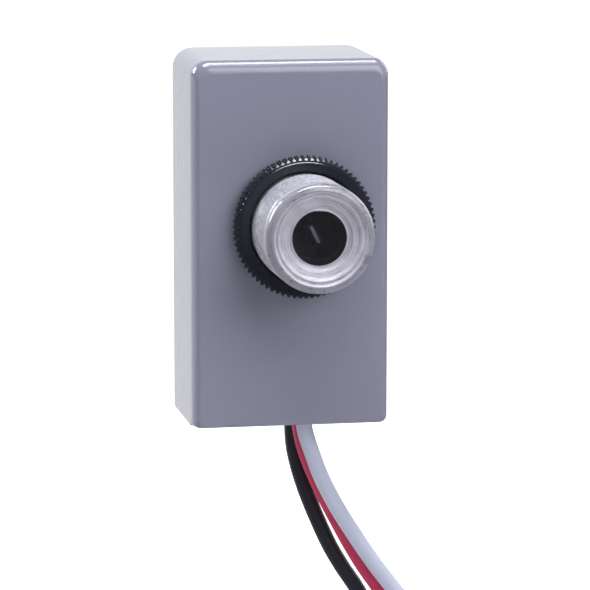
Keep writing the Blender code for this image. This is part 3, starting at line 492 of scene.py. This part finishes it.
# The shoulder between the stepped face and the thread: the same frosted plastic in a darker, greyer copy,
# which is painted shade on the rounded shoulder.
SHADED_SHOULDER = TurnedFinish(
    "frosted_shoulder_painted_shade", "A6A8B5", roughness=0.3, ior=1.585, transmission=0.15, coat=0.5,
    scatter_mm=0.35, grain_mm=0.3, mottle=0.06, mottle_mm=2.0, tint="94909C",
)
# The thread of the stem: painted highlight on its crests and painted shade in its grooves.
FROSTED_THREAD = ThreadedFinish(
    "frosted_thread", "B2B4C2", coat=0.5, grain_mm=0.35, grain_depth_mm=0.012,
)
# Lock nut: black glass-filled nylon, satin with a fine speckle.
BLACK_NYLON = Finish("black_nylon", "20222D", roughness=0.22, grain_mm=0.16, mottle=0.06)
# Shroud: matt black ABS.
BLACK_ABS = Finish("black_abs", "1C192A", roughness=0.6, grain_mm=0.2)
# Light sensor: smoked cast resin, with a painted highlight along its ridge.
SENSOR_RESIN = RidgedResin("smoked_resin", "181426", roughness=0.5, grain_mm=0.5, grain_depth_mm=0.001)
# Lead insulation: extruded PVC, smooth with a faint waviness.
WHITE_PVC = Finish("white_pvc", "BBC1D6", roughness=0.36, grain_mm=1.5, mottle_mm=3.0)
RED_PVC = Finish("red_pvc", "C82C58", roughness=0.36, grain_mm=1.5, mottle_mm=3.0)
BLACK_PVC = Finish("black_pvc", "292C37", roughness=0.34, grain_mm=1.5, mottle_mm=3.0)
# Conductors and solder: tinned copper, bright with a fine drawn grain.
TINNED_COPPER = Finish(
    "tinned_copper", "D6D3CC", roughness=0.28, metallic=1.0, grain_mm=0.08, grain_depth_mm=0.003,
    mottle=0.08,
)
# Circuit board: green solder mask over glass cloth, satin with the weave just showing through.
SOLDER_MASK = Laminate("solder_mask", "2F6B3A", roughness=0.35, grain_mm=0.3, grain_depth_mm=0.003)
# Relay and film capacitor: moulded cases, PBT and polyester, an even satin.
BLUE_PBT = Finish("blue_pbt", "2A4C94", roughness=0.42, grain_mm=0.2)
YELLOW_POLYESTER = Finish("yellow_polyester", "D8B23A", roughness=0.36, grain_mm=0.4)
# Rectifier, transistor and diode: moulded epoxy, nearly matt with a very fine grain.
BLACK_EPOXY = Finish("black_epoxy", "232325", roughness=0.5, grain_mm=0.12, grain_depth_mm=0.006)
# Round capacitors: shrunk PVC sleeve, smooth and a little glossy.
DARK_SLEEVE = Finish("pvc_sleeve", "262A38", roughness=0.3, grain_mm=1.0, grain_depth_mm=0.006)
# Varistor: dipped epoxy, glossy and uneven as it ran.
BLUE_EPOXY = Finish("blue_epoxy", "2E4FA8", roughness=0.25, grain_mm=1.4, grain_depth_mm=0.03)
# Resistors and zener diode: baked lacquer with a soft sheen, and tinted glass that shines.
RESISTOR_LACQUER = Finish("resistor_lacquer", "9FA996", grain_mm=0.5, grain_depth_mm=0.01)
FILM_LACQUER = Finish("film_lacquer", "8FA8BE", roughness=0.35, grain_mm=0.5, grain_depth_mm=0.008)
DIODE_GLASS = Finish("diode_glass", "B8552E", roughness=0.15, grain_mm=0.8, grain_depth_mm=0.002)


@cache
def finish_of(finish: Finish) -> Material:
    """The material of a finish, made once and then shared."""
    return finish.build()


def dress(obj: Object, finish: Finish, slot: str, *nodes: str) -> Object:
    """Gives a new piece its finish, and puts it in the place of its CAD nodes.

    Args:
        obj: The piece, at the world origin.
        finish: The surface that it gets.
        slot: The record's material slot; not used.
        nodes: CAD nodes that the piece stands for.

    Returns:
        The same object, riding on the part's one body.
    """
    obj.data.materials.append(finish_of(finish))
    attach(obj, "root")
    if nodes:
        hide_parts(*nodes)
    log.info("%s: %s", obj.name, finish.name)
    return obj


def object_from(name: str, bm: bmesh.types.BMesh, sharp_deg: float = SHARP_DEG) -> Object:
    """Turns a bmesh into a linked object, smooth between edges sharper than the given angle.

    Args:
        name: The object's name.
        bm: The finished shape, which is freed.
        sharp_deg: The angle between faces from which an edge stays sharp.

    Returns:
        The new object.
    """
    bmesh.ops.recalc_face_normals(bm, faces=bm.faces)
    mesh = bpy.data.meshes.new(name)
    bm.to_mesh(mesh)
    bm.free()
    mesh.shade_smooth()
    mesh.set_sharp_from_angle(angle=math.radians(sharp_deg))
    obj = bpy.data.objects.new(name, mesh)
    bpy.context.scene.collection.objects.link(obj)
    return obj


def merged_copy(node: str) -> Object:
    """A smooth copy of a CAD node: its facets joined, its flat faces kept flat.

    Args:
        node: The CAD node's name.

    Returns:
        The copy, ready to be dressed.
    """
    bm = bmesh.new()
    bm.from_mesh(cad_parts[node].data)
    bmesh.ops.remove_doubles(bm, verts=bm.verts[:], dist=SAME)
    bmesh.ops.dissolve_limit(
        bm, angle_limit=math.radians(FLAT_DEG), verts=bm.verts[:], edges=bm.edges[:],
        use_dissolve_boundaries=False,
    )
    obj = object_from(node + "_skin", bm)
    weights = obj.modifiers.new("weights", "WEIGHTED_NORMAL")
    weights.keep_sharp = True
    weights.weight = LARGE_FACE_WEIGHT
    return obj


def rounded(points: list[Place], radius: float) -> list[Place]:
    """Rounds the inner corners of a profile.

    Args:
        points: The profile's points.
        radius: How far from a corner its rounding starts, at most a third of the shorter side.

    Returns:
        The profile with each corner turned into a short arc.
    """
    result = [points[0]]
    for index in range(1, len(points) - 1):
        corner = Vector(points[index])
        before, after = Vector(points[index - 1]) - corner, Vector(points[index + 1]) - corner
        reach = min(radius, before.length / 3, after.length / 3)
        if reach < SAME:
            result.append(points[index])
            continue
        start, end = corner + before.normalized() * reach, corner + after.normalized() * reach
        for share in ARC_SHARES:
            near, far = start.lerp(corner, share), corner.lerp(end, share)
            result.append(tuple(near.lerp(far, share)))
    result.append(points[-1])
    return result


def turned(profile: list[Place], steps: int, ring: bool) -> bmesh.types.BMesh:
    """Spins a profile about the Y axis.

    Args:
        profile: The points, from axis to axis or round a ring.
        steps: How many sides the full turn has.
        ring: Whether the last point joins the first.

    Returns:
        The closed shape.
    """
    bm = bmesh.new()
    verts = [bm.verts.new((out, along, 0.0)) for out, along in profile]
    pairs = list(zip(verts, verts[1:])) + ([(verts[-1], verts[0])] if ring else [])
    edges = [bm.edges.new(pair) for pair in pairs]
    bmesh.ops.spin(
        bm, geom=verts + edges, cent=(0, 0, 0), axis=(0, 1, 0), angle=math.tau, steps=steps,
        use_merge=True, use_duplicate=False,
    )
    bmesh.ops.remove_doubles(bm, verts=bm.verts[:], dist=MERGE)
    return bm


class StemSurface(IntEnum):
    """The stem's materials, in the order of its material slots."""

    CLEAR = 0
    FROSTED = 1
    THREAD = 2
    SHOULDER = 3


@dataclass(frozen=True)
class Stem:
    """The clear stem: its sizes, in metres along its axis and out from it, and how it is made."""

    radius: float = 9.25 * MM
    tip: float = -17.7 * MM
    bore: float = 7.1 * MM
    flange: float = 10.8 * MM
    flange_front: float = 2.1 * MM
    flange_back: float = 4.1 * MM
    flat: float = 10.1 * MM
    rim: float = 7.95 * MM
    shoulder: float = 1.3 * MM
    shoulder_points: int = 9
    lens: float = 4.9 * MM
    lens_edge: float = -15.8 * MM
    crown: float = 0.3 * MM
    crown_turn: float = 1.5
    crown_points: int = 12
    clear: float = 4.55 * MM
    pocket: float = 5.05 * MM
    pocket_front: float = -14.3 * MM
    pocket_back: float = -9.1 * MM
    # The lens's faces reach this far past the pocket's front.
    lens_reach: float = 0.01 * MM
    pitch: float = 1.05 * MM
    rows_per_pitch: int = 6
    thread_depth: float = 0.34 * MM
    thread_start: float = -15.2 * MM
    # Faces of the thread lie no deeper than this many thread depths.
    thread_reach: float = 1.05
    corner: float = 0.14 * MM
    sides: int = 144
    sharp_deg: float = 40
    # The rings between lens and rim: shares of the way out, and of the way in from tip to lens edge.
    rings: tuple[tuple[float, float], ...] = (
        (0.13, 0.94), (0.22, 0.70), (0.54, 0.65), (0.63, 0.35), (0.73, 0.22), (0.80, 0.37), (0.88, 0.31),
    )

    def profile(self) -> list[Place]:
        """The outline, from the middle of the lens round the flange to the middle of the pocket.

        Returns:
            The points, with the rings' corners rounded.
        """
        span, depth = self.rim - self.lens, self.lens_edge - self.tip
        dome = [
            (self.lens * math.sin(turn), self.lens_edge - self.crown * math.cos(turn))
            for turn in np.linspace(0, self.crown_turn, self.crown_points)
        ]
        face = [(self.lens + span * out, self.tip + depth * deep) for out, deep in self.rings]
        bend = [
            (self.rim + self.shoulder * math.sin(turn), self.tip + self.shoulder * (1 - math.cos(turn)))
            for turn in np.linspace(0, math.pi / 2, self.shoulder_points)[1:]
        ]
        front = rounded(
            [dome[-1], (self.lens, self.lens_edge), *face, (self.rim, self.tip), bend[0]], self.corner,
        )
        rows = round((self.flange_front - self.thread_start) / (self.pitch / self.rows_per_pitch))
        shank = [(self.radius, along) for along in np.linspace(self.thread_start, self.flange_front, rows)]
        back = [
            (self.flange, self.flange_front), (self.flange, self.flange_back), (self.bore, self.flange_back),
            (self.bore, self.pocket_back), (self.pocket, self.pocket_back), (self.pocket, self.pocket_front),
            (0.0, self.pocket_front),
        ]
        return [*dome[:-1], *front[:-1], *bend, *shank, *back]

    def cut(self, vert: bmesh.types.BMVert) -> None:
        """Moves a point of the turned stem into the thread's groove, or onto the flange's flat.

        Args:
            vert: The point.
        """
        out = math.hypot(vert.co.x, vert.co.z)
        threaded = self.thread_start <= vert.co.y < self.flange_front - self.pitch
        if threaded and abs(out - self.radius) < SAME:
            turn = math.atan2(vert.co.z, vert.co.x) / math.tau
            phase = (vert.co.y / self.pitch + turn) % 1.0
            groove = self.thread_depth * (0.5 - 0.5 * math.cos(math.tau * phase))
            fade = min(1.0, (vert.co.y - self.thread_start) / self.pitch)
            scale = (out - groove * fade) / out
            vert.co.x *= scale
            vert.co.z *= scale
        if vert.co.y > self.flange_front - SAME:
            vert.co.x = max(-self.flat, min(self.flat, vert.co.x))

    def surface(self, place: Vector) -> StemSurface:
        """The material of a face.

        Args:
            place: The face's middle.

        Returns:
            The material's slot.
        """
        out = math.hypot(place.x, place.z)
        if out < self.clear and place.y < self.pocket_front + self.lens_reach:
            return StemSurface.CLEAR
        deepest = self.radius - self.thread_reach * self.thread_depth
        if out > deepest and self.thread_start < place.y < self.flange_front:
            return StemSurface.THREAD
        # The shoulder takes the darker copy of the frosted plastic: painted shade.
        if out > self.rim and place.y < self.tip + self.shoulder:
            return StemSurface.SHOULDER
        return StemSurface.FROSTED

    def build(self) -> Object:
        """Makes the stepped tip round the lens, the fine helical thread and the flange with flats.

        Returns:
            The stem, with its four materials.
        """
        bm = turned(self.profile(), self.sides, ring=False)
        for vert in bm.verts:
            self.cut(vert)
        for face in bm.faces:
            face.material_index = self.surface(face.calc_center_median())
        stem = object_from("threaded_stem", bm, self.sharp_deg)
        dress(stem, CLEAR_POLYCARBONATE, "clear_plastic", "lens_stem")
        for finish in (FROSTED_POLYCARBONATE, FROSTED_THREAD, SHADED_SHOULDER):
            stem.data.materials.append(finish_of(finish))
        return stem


@dataclass(frozen=True)
class Nut:
    """The lock nut: its sizes and its knurl's, in metres, and how it is made."""

    bore: float = 9.55 * MM
    tip: float = 12.3 * MM
    tooth: float = 0.75 * MM
    back: float = -0.3 * MM
    front: float = -4.2 * MM
    face: float = 11.15 * MM
    step: float = 0.1 * MM
    relief: float = 0.35 * MM
    end_slope: float = 1.135
    # How many steps' width the knurl keeps from each face.
    margin: float = 1.2
    # Over 1, so that the diamonds have blunt tips.
    blunt: float = 1.12
    teeth: int = 72
    rows: int = 2
    samples: int = 4
    sharp_deg: float = 18

    @property
    def root(self) -> float:
        """How far out the bottom of the knurl is."""
        return self.tip - self.tooth

    @property
    def ends(self) -> Span:
        """Where the knurl ends, at the back and at the front."""
        return self.back - self.margin * self.step, self.front + self.margin * self.step

    def profile(self) -> list[Place]:
        """The section of the ring, with the knurl still flat at its bottom.

        Returns:
            The points, once round.
        """
        low, high = self.ends
        end = self.tooth / self.end_slope
        shares = ARC_SHARES[:-1]
        stops = [low - end * share for share in shares]
        stops += list(np.linspace(low - end, high + end, self.rows * self.samples))
        stops += [high + end * share for share in reversed(shares)]
        lip = self.face + self.end_slope * self.step
        return [
            (self.bore, self.front + self.relief), (self.bore, self.back - self.relief),
            (self.bore + self.relief, self.back), (self.face, self.back), (lip, self.back - self.step),
            *((self.root, along) for along in stops),
            (lip, self.front + self.step), (self.face, self.front), (self.bore + self.relief, self.front),
        ]

    def raise_tooth(self, vert: bmesh.types.BMVert) -> None:
        """Moves a point of the knurl's bottom out to its diamond, whose ends are cut to a cone.

        Args:
            vert: The point, which stays where it is if it isn't the knurl's.
        """
        out = math.hypot(vert.co.x, vert.co.z)
        if abs(out - self.root) > SAME:
            return
        low, high = self.ends
        across = 2 * self.teeth * math.atan2(vert.co.z, vert.co.x) / math.tau
        along = self.rows * (low - vert.co.y) / (low - high)
        slopes = [(across + along) / 2, (across - along) / 2]
        height = 1 - 2 * max(abs(slope - round(slope)) for slope in slopes)
        inwards = min(low - vert.co.y, vert.co.y - high)
        rise = min(self.tooth * min(1.0, self.blunt * height), self.end_slope * inwards)
        vert.co.x *= (out + rise) / out
        vert.co.z *= (out + rise) / out

    def build(self) -> Object:
        """Makes the ring with its diamond knurl, and a thin step round each face.

        Returns:
            The nut.
        """
        bm = turned(self.profile(), 2 * self.teeth * self.samples, ring=True)
        for vert in bm.verts:
            self.raise_tooth(vert)
        return dress(object_from("knurled_nut", bm, self.sharp_deg), BLACK_NYLON, "nut_plastic", "lock_nut")


def curve_object(name: str, lines: list[list[Vector]], radius: float, resolution: int) -> Object:
    """A curve object of round wires through lists of points.

    Args:
        name: The object's name.
        lines: One list of points for each wire.
        radius: The wires' radius.
        resolution: How finely their section is rounded.

    Returns:
        The new object, at the world origin.
    """
    curve = bpy.data.curves.new(name, "CURVE")
    curve.dimensions = "3D"
    curve.bevel_depth = radius
    curve.bevel_resolution = resolution
    curve.use_fill_caps = True
    for line in lines:
        spline = curve.splines.new("POLY")
        spline.points.add(len(line) - 1)
        for point, place in zip(spline.points, line):
            point.co = (*place, 1.0)
        spline.use_smooth = True
    obj = bpy.data.objects.new(name, curve)
    bpy.context.scene.collection.objects.link(obj)
    return obj


@dataclass(frozen=True)
class Lead:
    """One insulated lead with its bare end: its route, finish and slot, and its sizes in metres."""

    name: str
    route: list[Point]
    finish: Finish
    slot: str
    diameter: float = 2.8 * MM
    spacing: float = 1.5 * MM
    samples: int = 16
    plate_low: float = -34.1 * MM
    strand_radius: float = 0.2 * MM
    strands_round: int = 6
    strand_turns: float = 0.75
    strand_points: int = 25
    # How far the strands stay inside the CAD tip, at the insulation and at the free end.
    strand_start: float = 0.3 * MM
    strand_end: float = 0.2 * MM
    # How much nearer each strand lies to the middle one than the strand before it, at the free end.
    strand_slack: float = 0.02

    def line(self) -> list[Vector]:
        """Finds one smooth curve through the lead's route.

        Returns:
            Points on it, evenly spaced, with both ends kept.
        """
        points = np.array(self.route)
        padded = np.vstack([2 * points[0] - points[1], points, 2 * points[-1] - points[-2]])
        dense = []
        for p0, p1, p2, p3 in zip(padded, padded[1:], padded[2:], padded[3:]):
            for t in np.linspace(0, 1, self.samples, endpoint=False):
                square = (2 * p0 - 5 * p1 + 4 * p2 - p3) * t**2
                cube = (3 * p1 - p0 - 3 * p2 + p3) * t**3
                dense.append((2 * p1 + (p2 - p0) * t + square + cube) / 2)
        line = np.array([*dense, points[-1]])
        along = np.concatenate([[0], np.cumsum(np.linalg.norm(np.diff(line, axis=0), axis=1))])
        stops = np.linspace(0, along[-1], round(along[-1] / self.spacing) + 1)
        return [Vector([np.interp(stop, along, line[:, axis]) for axis in range(3)]) for stop in stops]

    def strands(self, line: list[Vector]) -> Object:
        """Makes the bare end: tinned strands laid round a middle one, inside the CAD tip's outline.

        Args:
            line: The points of the lead's curve.

        Returns:
            The bundle of strands.
        """
        low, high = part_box(self.name + "_tip")
        start = Vector(self.route[-1])
        down = (line[-1] - line[-2]).normalized()
        side = down.orthogonal().normalized()
        across = down.cross(side)
        length = (high.z - low.z) / abs(down.z)
        bare = length - self.strand_start - self.strand_end
        wires = []
        for strand in range(self.strands_round + 1):
            reach = 2 * self.strand_radius if strand < self.strands_round else 0.0
            wire = []
            for share in np.linspace(0, 1, self.strand_points):
                turn = math.tau * (strand / self.strands_round + self.strand_turns * share)
                away = reach * (1 - self.strand_slack * strand * share)
                offset = side * math.cos(turn) * away + across * math.sin(turn) * away
                wire.append(start + down * (self.strand_start + bare * share) + offset)
            wires.append(wire)
        log.info("%s: bare end %.1f mm", self.name, length / MM)
        strands = curve_object(self.name + "_strands", wires, self.strand_radius, resolution=2)
        return dress(strands, TINNED_COPPER, "tinned_copper", self.name + "_tip")

    def build(self) -> Object:
        """Returns:
            The lead's curve.
        """
        line = self.line()
        insulation = curve_object(self.name + "_insulation", [line], self.diameter / 2, resolution=6)
        dress(insulation, self.finish, self.slot, self.name)
        strands = self.strands(line)
        return insulation


LEADS = [
    Lead("white_lead", WHITE_ROUTE, WHITE_PVC, "white_pvc"),
    Lead("red_lead", RED_ROUTE, RED_PVC, "red_pvc"),
    Lead("black_lead", BLACK_ROUTE, BLACK_PVC, "black_pvc"),
]

# CAD nodes whose shape is right: each gets a merged, smooth copy with this finish; the slot is listed beside
# it.
CARRIED = {
    "housing": (GREY_POLYCARBONATE, "housing_plastic"),
    "bottom_plate": (GREY_PLATE, "plate_plastic"),
    "sensor_shroud": (BLACK_ABS, "shroud_plastic"),
    "light_sensor": (SENSOR_RESIN, "sensor_resin"),
    "circuit_board": (SOLDER_MASK, "board_laminate"),
    "relay": (BLUE_PBT, "relay_case"),
    "film_capacitor": (YELLOW_POLYESTER, "film_case"),
    "bridge_rectifier": (BLACK_EPOXY, "black_epoxy"),
    "switching_transistor": (BLACK_EPOXY, "black_epoxy"),
    "smoothing_capacitor": (DARK_SLEEVE, "can_sleeve"),
    "delay_capacitor": (DARK_SLEEVE, "can_sleeve"),
    "surge_varistor": (BLUE_EPOXY, "varistor_coat"),
    "surge_resistor": (RESISTOR_LACQUER, "resistor_coat"),
    "bleed_resistor": (FILM_LACQUER, "resistor_coat"),
    "gain_resistor": (FILM_LACQUER, "resistor_coat"),
    "hysteresis_resistor": (FILM_LACQUER, "resistor_coat"),
    "zener_diode": (DIODE_GLASS, "diode_coat"),
    "flyback_diode": (BLACK_EPOXY, "diode_coat"),
    "white_lead_joint": (TINNED_COPPER, "tinned_copper"),
    "red_lead_joint": (TINNED_COPPER, "tinned_copper"),
    "black_lead_joint": (TINNED_COPPER, "tinned_copper"),
}


class Side(Enum):
    """Where a studio lamp stands, as the direction from the object to it."""

    TOP = (0.04, -0.22, 1.0)
    LEFT = (-0.80, 0.60, 0.45)
    FRONT = (0.40, -0.80, 0.48)
    BACK = (0.80, 0.60, 0.30)


@dataclass(frozen=True)
class Lamp:
    """A soft box that faces the object: its width, its height and how bright its face is."""

    side: Side
    radiance: float
    width: float
    height: float
    distance: float = 0.9

    def build(self) -> Object:
        """Makes the lamp and turns it to the object.

        Returns:
            The lamp.
        """
        light = bpy.data.lights.new("lamp_" + self.side.name.lower(), "AREA")
        light.shape = "RECTANGLE"
        light.size = self.width
        light.size_y = self.height
        light.energy = self.radiance * math.pi * self.width * self.height
        lamp = bpy.data.objects.new(light.name, light)
        away = Vector(self.side.value).normalized()
        lamp.location = away * self.distance
        lamp.rotation_euler = away.to_track_quat("Z", "Y").to_euler()
        bpy.context.scene.collection.objects.link(lamp)
        log.info("%s: %.1f W", light.name, light.energy)
        return lamp


@dataclass(frozen=True)
class Studio:
    """Lamps, world and floor round the object."""

    lamps: tuple[Lamp, ...] = (
        Lamp(Side.TOP, 26.0, 0.7, 0.17),
        Lamp(Side.LEFT, 17.5, 0.35, 0.35),
        Lamp(Side.FRONT, 4.2, 0.60, 0.60),
        Lamp(Side.BACK, 2.5, 0.5, 0.5),
    )
    ambient: float = 0.14
    dark: float = 0.10
    # A mirrored ray sees white past the wall's span of Y, and dark again past the flag's span of X.
    world_wall: Span = (0.75, 0.92)
    world_flag: Span = (0.20, 0.32)
    floor_wall: Span = (0.0, 0.5)
    floor_flag: Span = (0.26, 0.40)
    floor_height: float = -184 * MM
    floor_reach: float = 4.0
    floor_paint: str = "DADADC"
    floor_roughness: float = 0.9
    # The floor glows this much near the object, and turns white over this span of distance.
    near_glow: float = 0.4
    glow_span: Span = (0.25, 0.42)

    def build(self) -> None:
        """Makes all of it."""
        for lamp in self.lamps:
            lamp.build()
        self.build_world()
        self.build_floor()

    def reflection(
        self, tree: NodeTree, place: NodeSocket, wall: Span, flag: Span, curve: str,
    ) -> NodeSocket:
        """How bright a mirrored ray sees the studio: white behind the object, and dark elsewhere.

        Args:
            tree: The node tree that it goes into.
            place: The direction of the ray, or the place that it meets.
            wall: The span of Y over which it turns white.
            flag: The span of X over which it turns dark again.
            curve: How it turns within the spans.

        Returns:
            The brightness.
        """
        axes = add_node(tree, "SeparateXYZ", {}, {"Vector": place})
        behind = add_node(
            tree, "MapRange", {"From Min": wall[0], "From Max": wall[1], "To Min": 0.0, "To Max": 1.0},
            {"Value": axes.outputs["Y"]}, interpolation_type=curve,
        )
        beside = add_node(
            tree, "MapRange", {"From Min": flag[0], "From Max": flag[1], "To Min": 1.0, "To Max": 0.0},
            {"Value": axes.outputs["X"]}, interpolation_type=curve,
        )
        share = add_node(
            tree, "Math", {}, {0: behind.outputs["Result"], 1: beside.outputs["Result"]},
            operation="MULTIPLY",
        )
        return add_node(
            tree, "MapRange", {"To Min": self.dark}, {"Value": share.outputs[0]},
        ).outputs["Result"]

    @staticmethod
    def mirrored(tree: NodeTree, path: ShaderNode) -> NodeSocket:
        """Tells mirrored rays from others.

        Args:
            tree: The node tree that it goes into.
            path: The tree's light path node.

        Returns:
            1 for glossy and transmission rays, and 0 for others.
        """
        return add_node(
            tree, "Math", {}, {0: path.outputs["Is Glossy Ray"], 1: path.outputs["Is Transmission Ray"]},
            operation="MAXIMUM",
        ).outputs[0]

    def build_world(self) -> None:
        """White behind the object, dark elsewhere in reflections, and an ambient light on the object."""
        world = bpy.data.worlds.new("studio_world")
        bpy.context.scene.world = world
        world.use_nodes = True
        tree = world.node_tree
        tree.nodes.clear()
        path = add_node(tree, "LightPath")
        camera_ray = path.outputs["Is Camera Ray"]
        seen = add_node(
            tree, "Math", {}, {0: camera_ray, 1: self.mirrored(tree, path)}, operation="MAXIMUM",
        )
        direction = add_node(tree, "TexCoord").outputs["Generated"]
        image = self.reflection(tree, direction, self.world_wall, self.world_flag, "SMOOTHSTEP")
        shown = add_node(tree, "Mix", {"B": 1.0}, {"Factor": camera_ray, "A": image}, data_type="FLOAT")
        strength = add_node(
            tree, "Mix", {"A": self.ambient}, {"Factor": seen.outputs[0], "B": shown.outputs["Result"]},
            data_type="FLOAT",
        )
        light = add_node(tree, "Background", {"Color": WHITE}, {"Strength": strength.outputs["Result"]})
        add_node(tree, "OutputWorld", {}, {"Surface": light.outputs[0]})

    def build_floor(self) -> None:
        """A pale floor under the leads, which keeps the object's shadow."""
        bm = bmesh.new()
        bmesh.ops.create_grid(bm, x_segments=8, y_segments=8, size=self.floor_reach)
        bmesh.ops.translate(bm, verts=bm.verts[:], vec=(0, 0, self.floor_height))
        floor = object_from("studio_floor", bm)
        # Recalculated, the normals of a lone grid point down, and the paint is on its upper side.
        floor.data.flip_normals()
        floor.data.materials.append(self.floor_material())

    def floor_material(self) -> Material:
        """The floor's paint, which turns white further off and mirrors as the studio's wall does.

        Returns:
            The new material.
        """
        material = bpy.data.materials.new("painted_floor")
        material.use_nodes = True
        tree = material.node_tree
        shader = tree.nodes["Principled BSDF"]
        shader.inputs["Base Color"].default_value = linear(self.floor_paint)
        shader.inputs["Roughness"].default_value = self.floor_roughness
        path = add_node(tree, "LightPath")
        place = add_node(tree, "TexCoord").outputs["Object"]
        away = add_node(tree, "VectorMath", {}, {0: place}, operation="LENGTH")
        far = add_node(
            tree, "MapRange",
            {"From Min": self.glow_span[0], "From Max": self.glow_span[1], "To Min": self.near_glow},
            {"Value": away.outputs["Value"]},
        )
        glow = add_node(
            tree, "Math", {}, {0: path.outputs["Is Camera Ray"], 1: far.outputs["Result"]},
            operation="MULTIPLY",
        )
        light = add_node(tree, "Emission", {"Color": WHITE}, {"Strength": glow.outputs[0]})
        lit = add_node(tree, "AddShader", {}, {0: shader.outputs[0], 1: light.outputs[0]})
        wall = self.reflection(tree, place, self.floor_wall, self.floor_flag, "LINEAR")
        image = add_node(tree, "Emission", {"Color": WHITE}, {"Strength": wall})
        above = add_node(
            tree, "MixShader", {}, {0: self.mirrored(tree, path), 1: lit.outputs[0], 2: image.outputs[0]},
        )
        # Seen from below, the floor is not in the way.
        below = add_node(tree, "NewGeometry").outputs["Backfacing"]
        none = add_node(tree, "BsdfTransparent")
        both = add_node(tree, "MixShader", {}, {0: below, 1: above.outputs[0], 2: none.outputs[0]})
        tree.links.new(both.outputs[0], tree.nodes["Material Output"].inputs["Surface"])
        return material


@dataclass(frozen=True)
class View:
    """The photograph's camera: where it looks from, how far off it stands and where the origin lands."""

    azimuth_deg: float = 10.495
    elevation_deg: float = 8.912
    distance: float = 600 * MM
    focal_px: float = 3540.0
    image_px: float = 590.0
    origin_px: tuple[float, float] = (301.9, 225.4)
    sensor_mm: float = 36.0
    clip: Span = (0.01, 20.0)

    def build(self) -> Object:
        """Makes the camera, unshifted and level, and makes it the scene's own.

        Returns:
            The camera.
        """
        azimuth, elevation = math.radians(self.azimuth_deg), math.radians(self.elevation_deg)
        level = math.cos(elevation)
        forward = Vector((math.sin(azimuth) * level, math.cos(azimuth) * level, -math.sin(elevation)))
        right = Vector((math.cos(azimuth), -math.sin(azimuth), 0))
        up = right.cross(forward)
        middle = self.image_px / 2
        across = (self.origin_px[0] - middle) / self.focal_px * self.distance
        rise = (middle - self.origin_px[1]) / self.focal_px * self.distance
        data = bpy.data.cameras.new("photo_camera")
        data.sensor_width = self.sensor_mm
        data.lens = self.focal_px / self.image_px * data.sensor_width
        data.clip_start, data.clip_end = self.clip
        camera = bpy.data.objects.new("photo_camera", data)
        camera.location = -forward * self.distance - right * across - up * rise
        camera.rotation_euler = (math.pi / 2 - elevation, 0, -azimuth)
        bpy.context.scene.collection.objects.link(camera)
        bpy.context.scene.camera = camera
        log.info("camera at %s", tuple(round(value, 4) for value in camera.location))
        return camera


def main() -> None:
    """Builds the view, the leads, the pieces and the studio."""
    logging.basicConfig(level=logging.INFO, format="%(name)s: %(message)s")
    bpy.context.scene.view_settings.view_transform = "Standard"
    View().build()
    for lead in LEADS:
        lead.build()
    Stem().build()
    Nut().build()
    for node, (finish, slot) in CARRIED.items():
        dress(merged_copy(node), finish, slot, node)
    Studio().build()


if __name__ == "__main__":
    main()
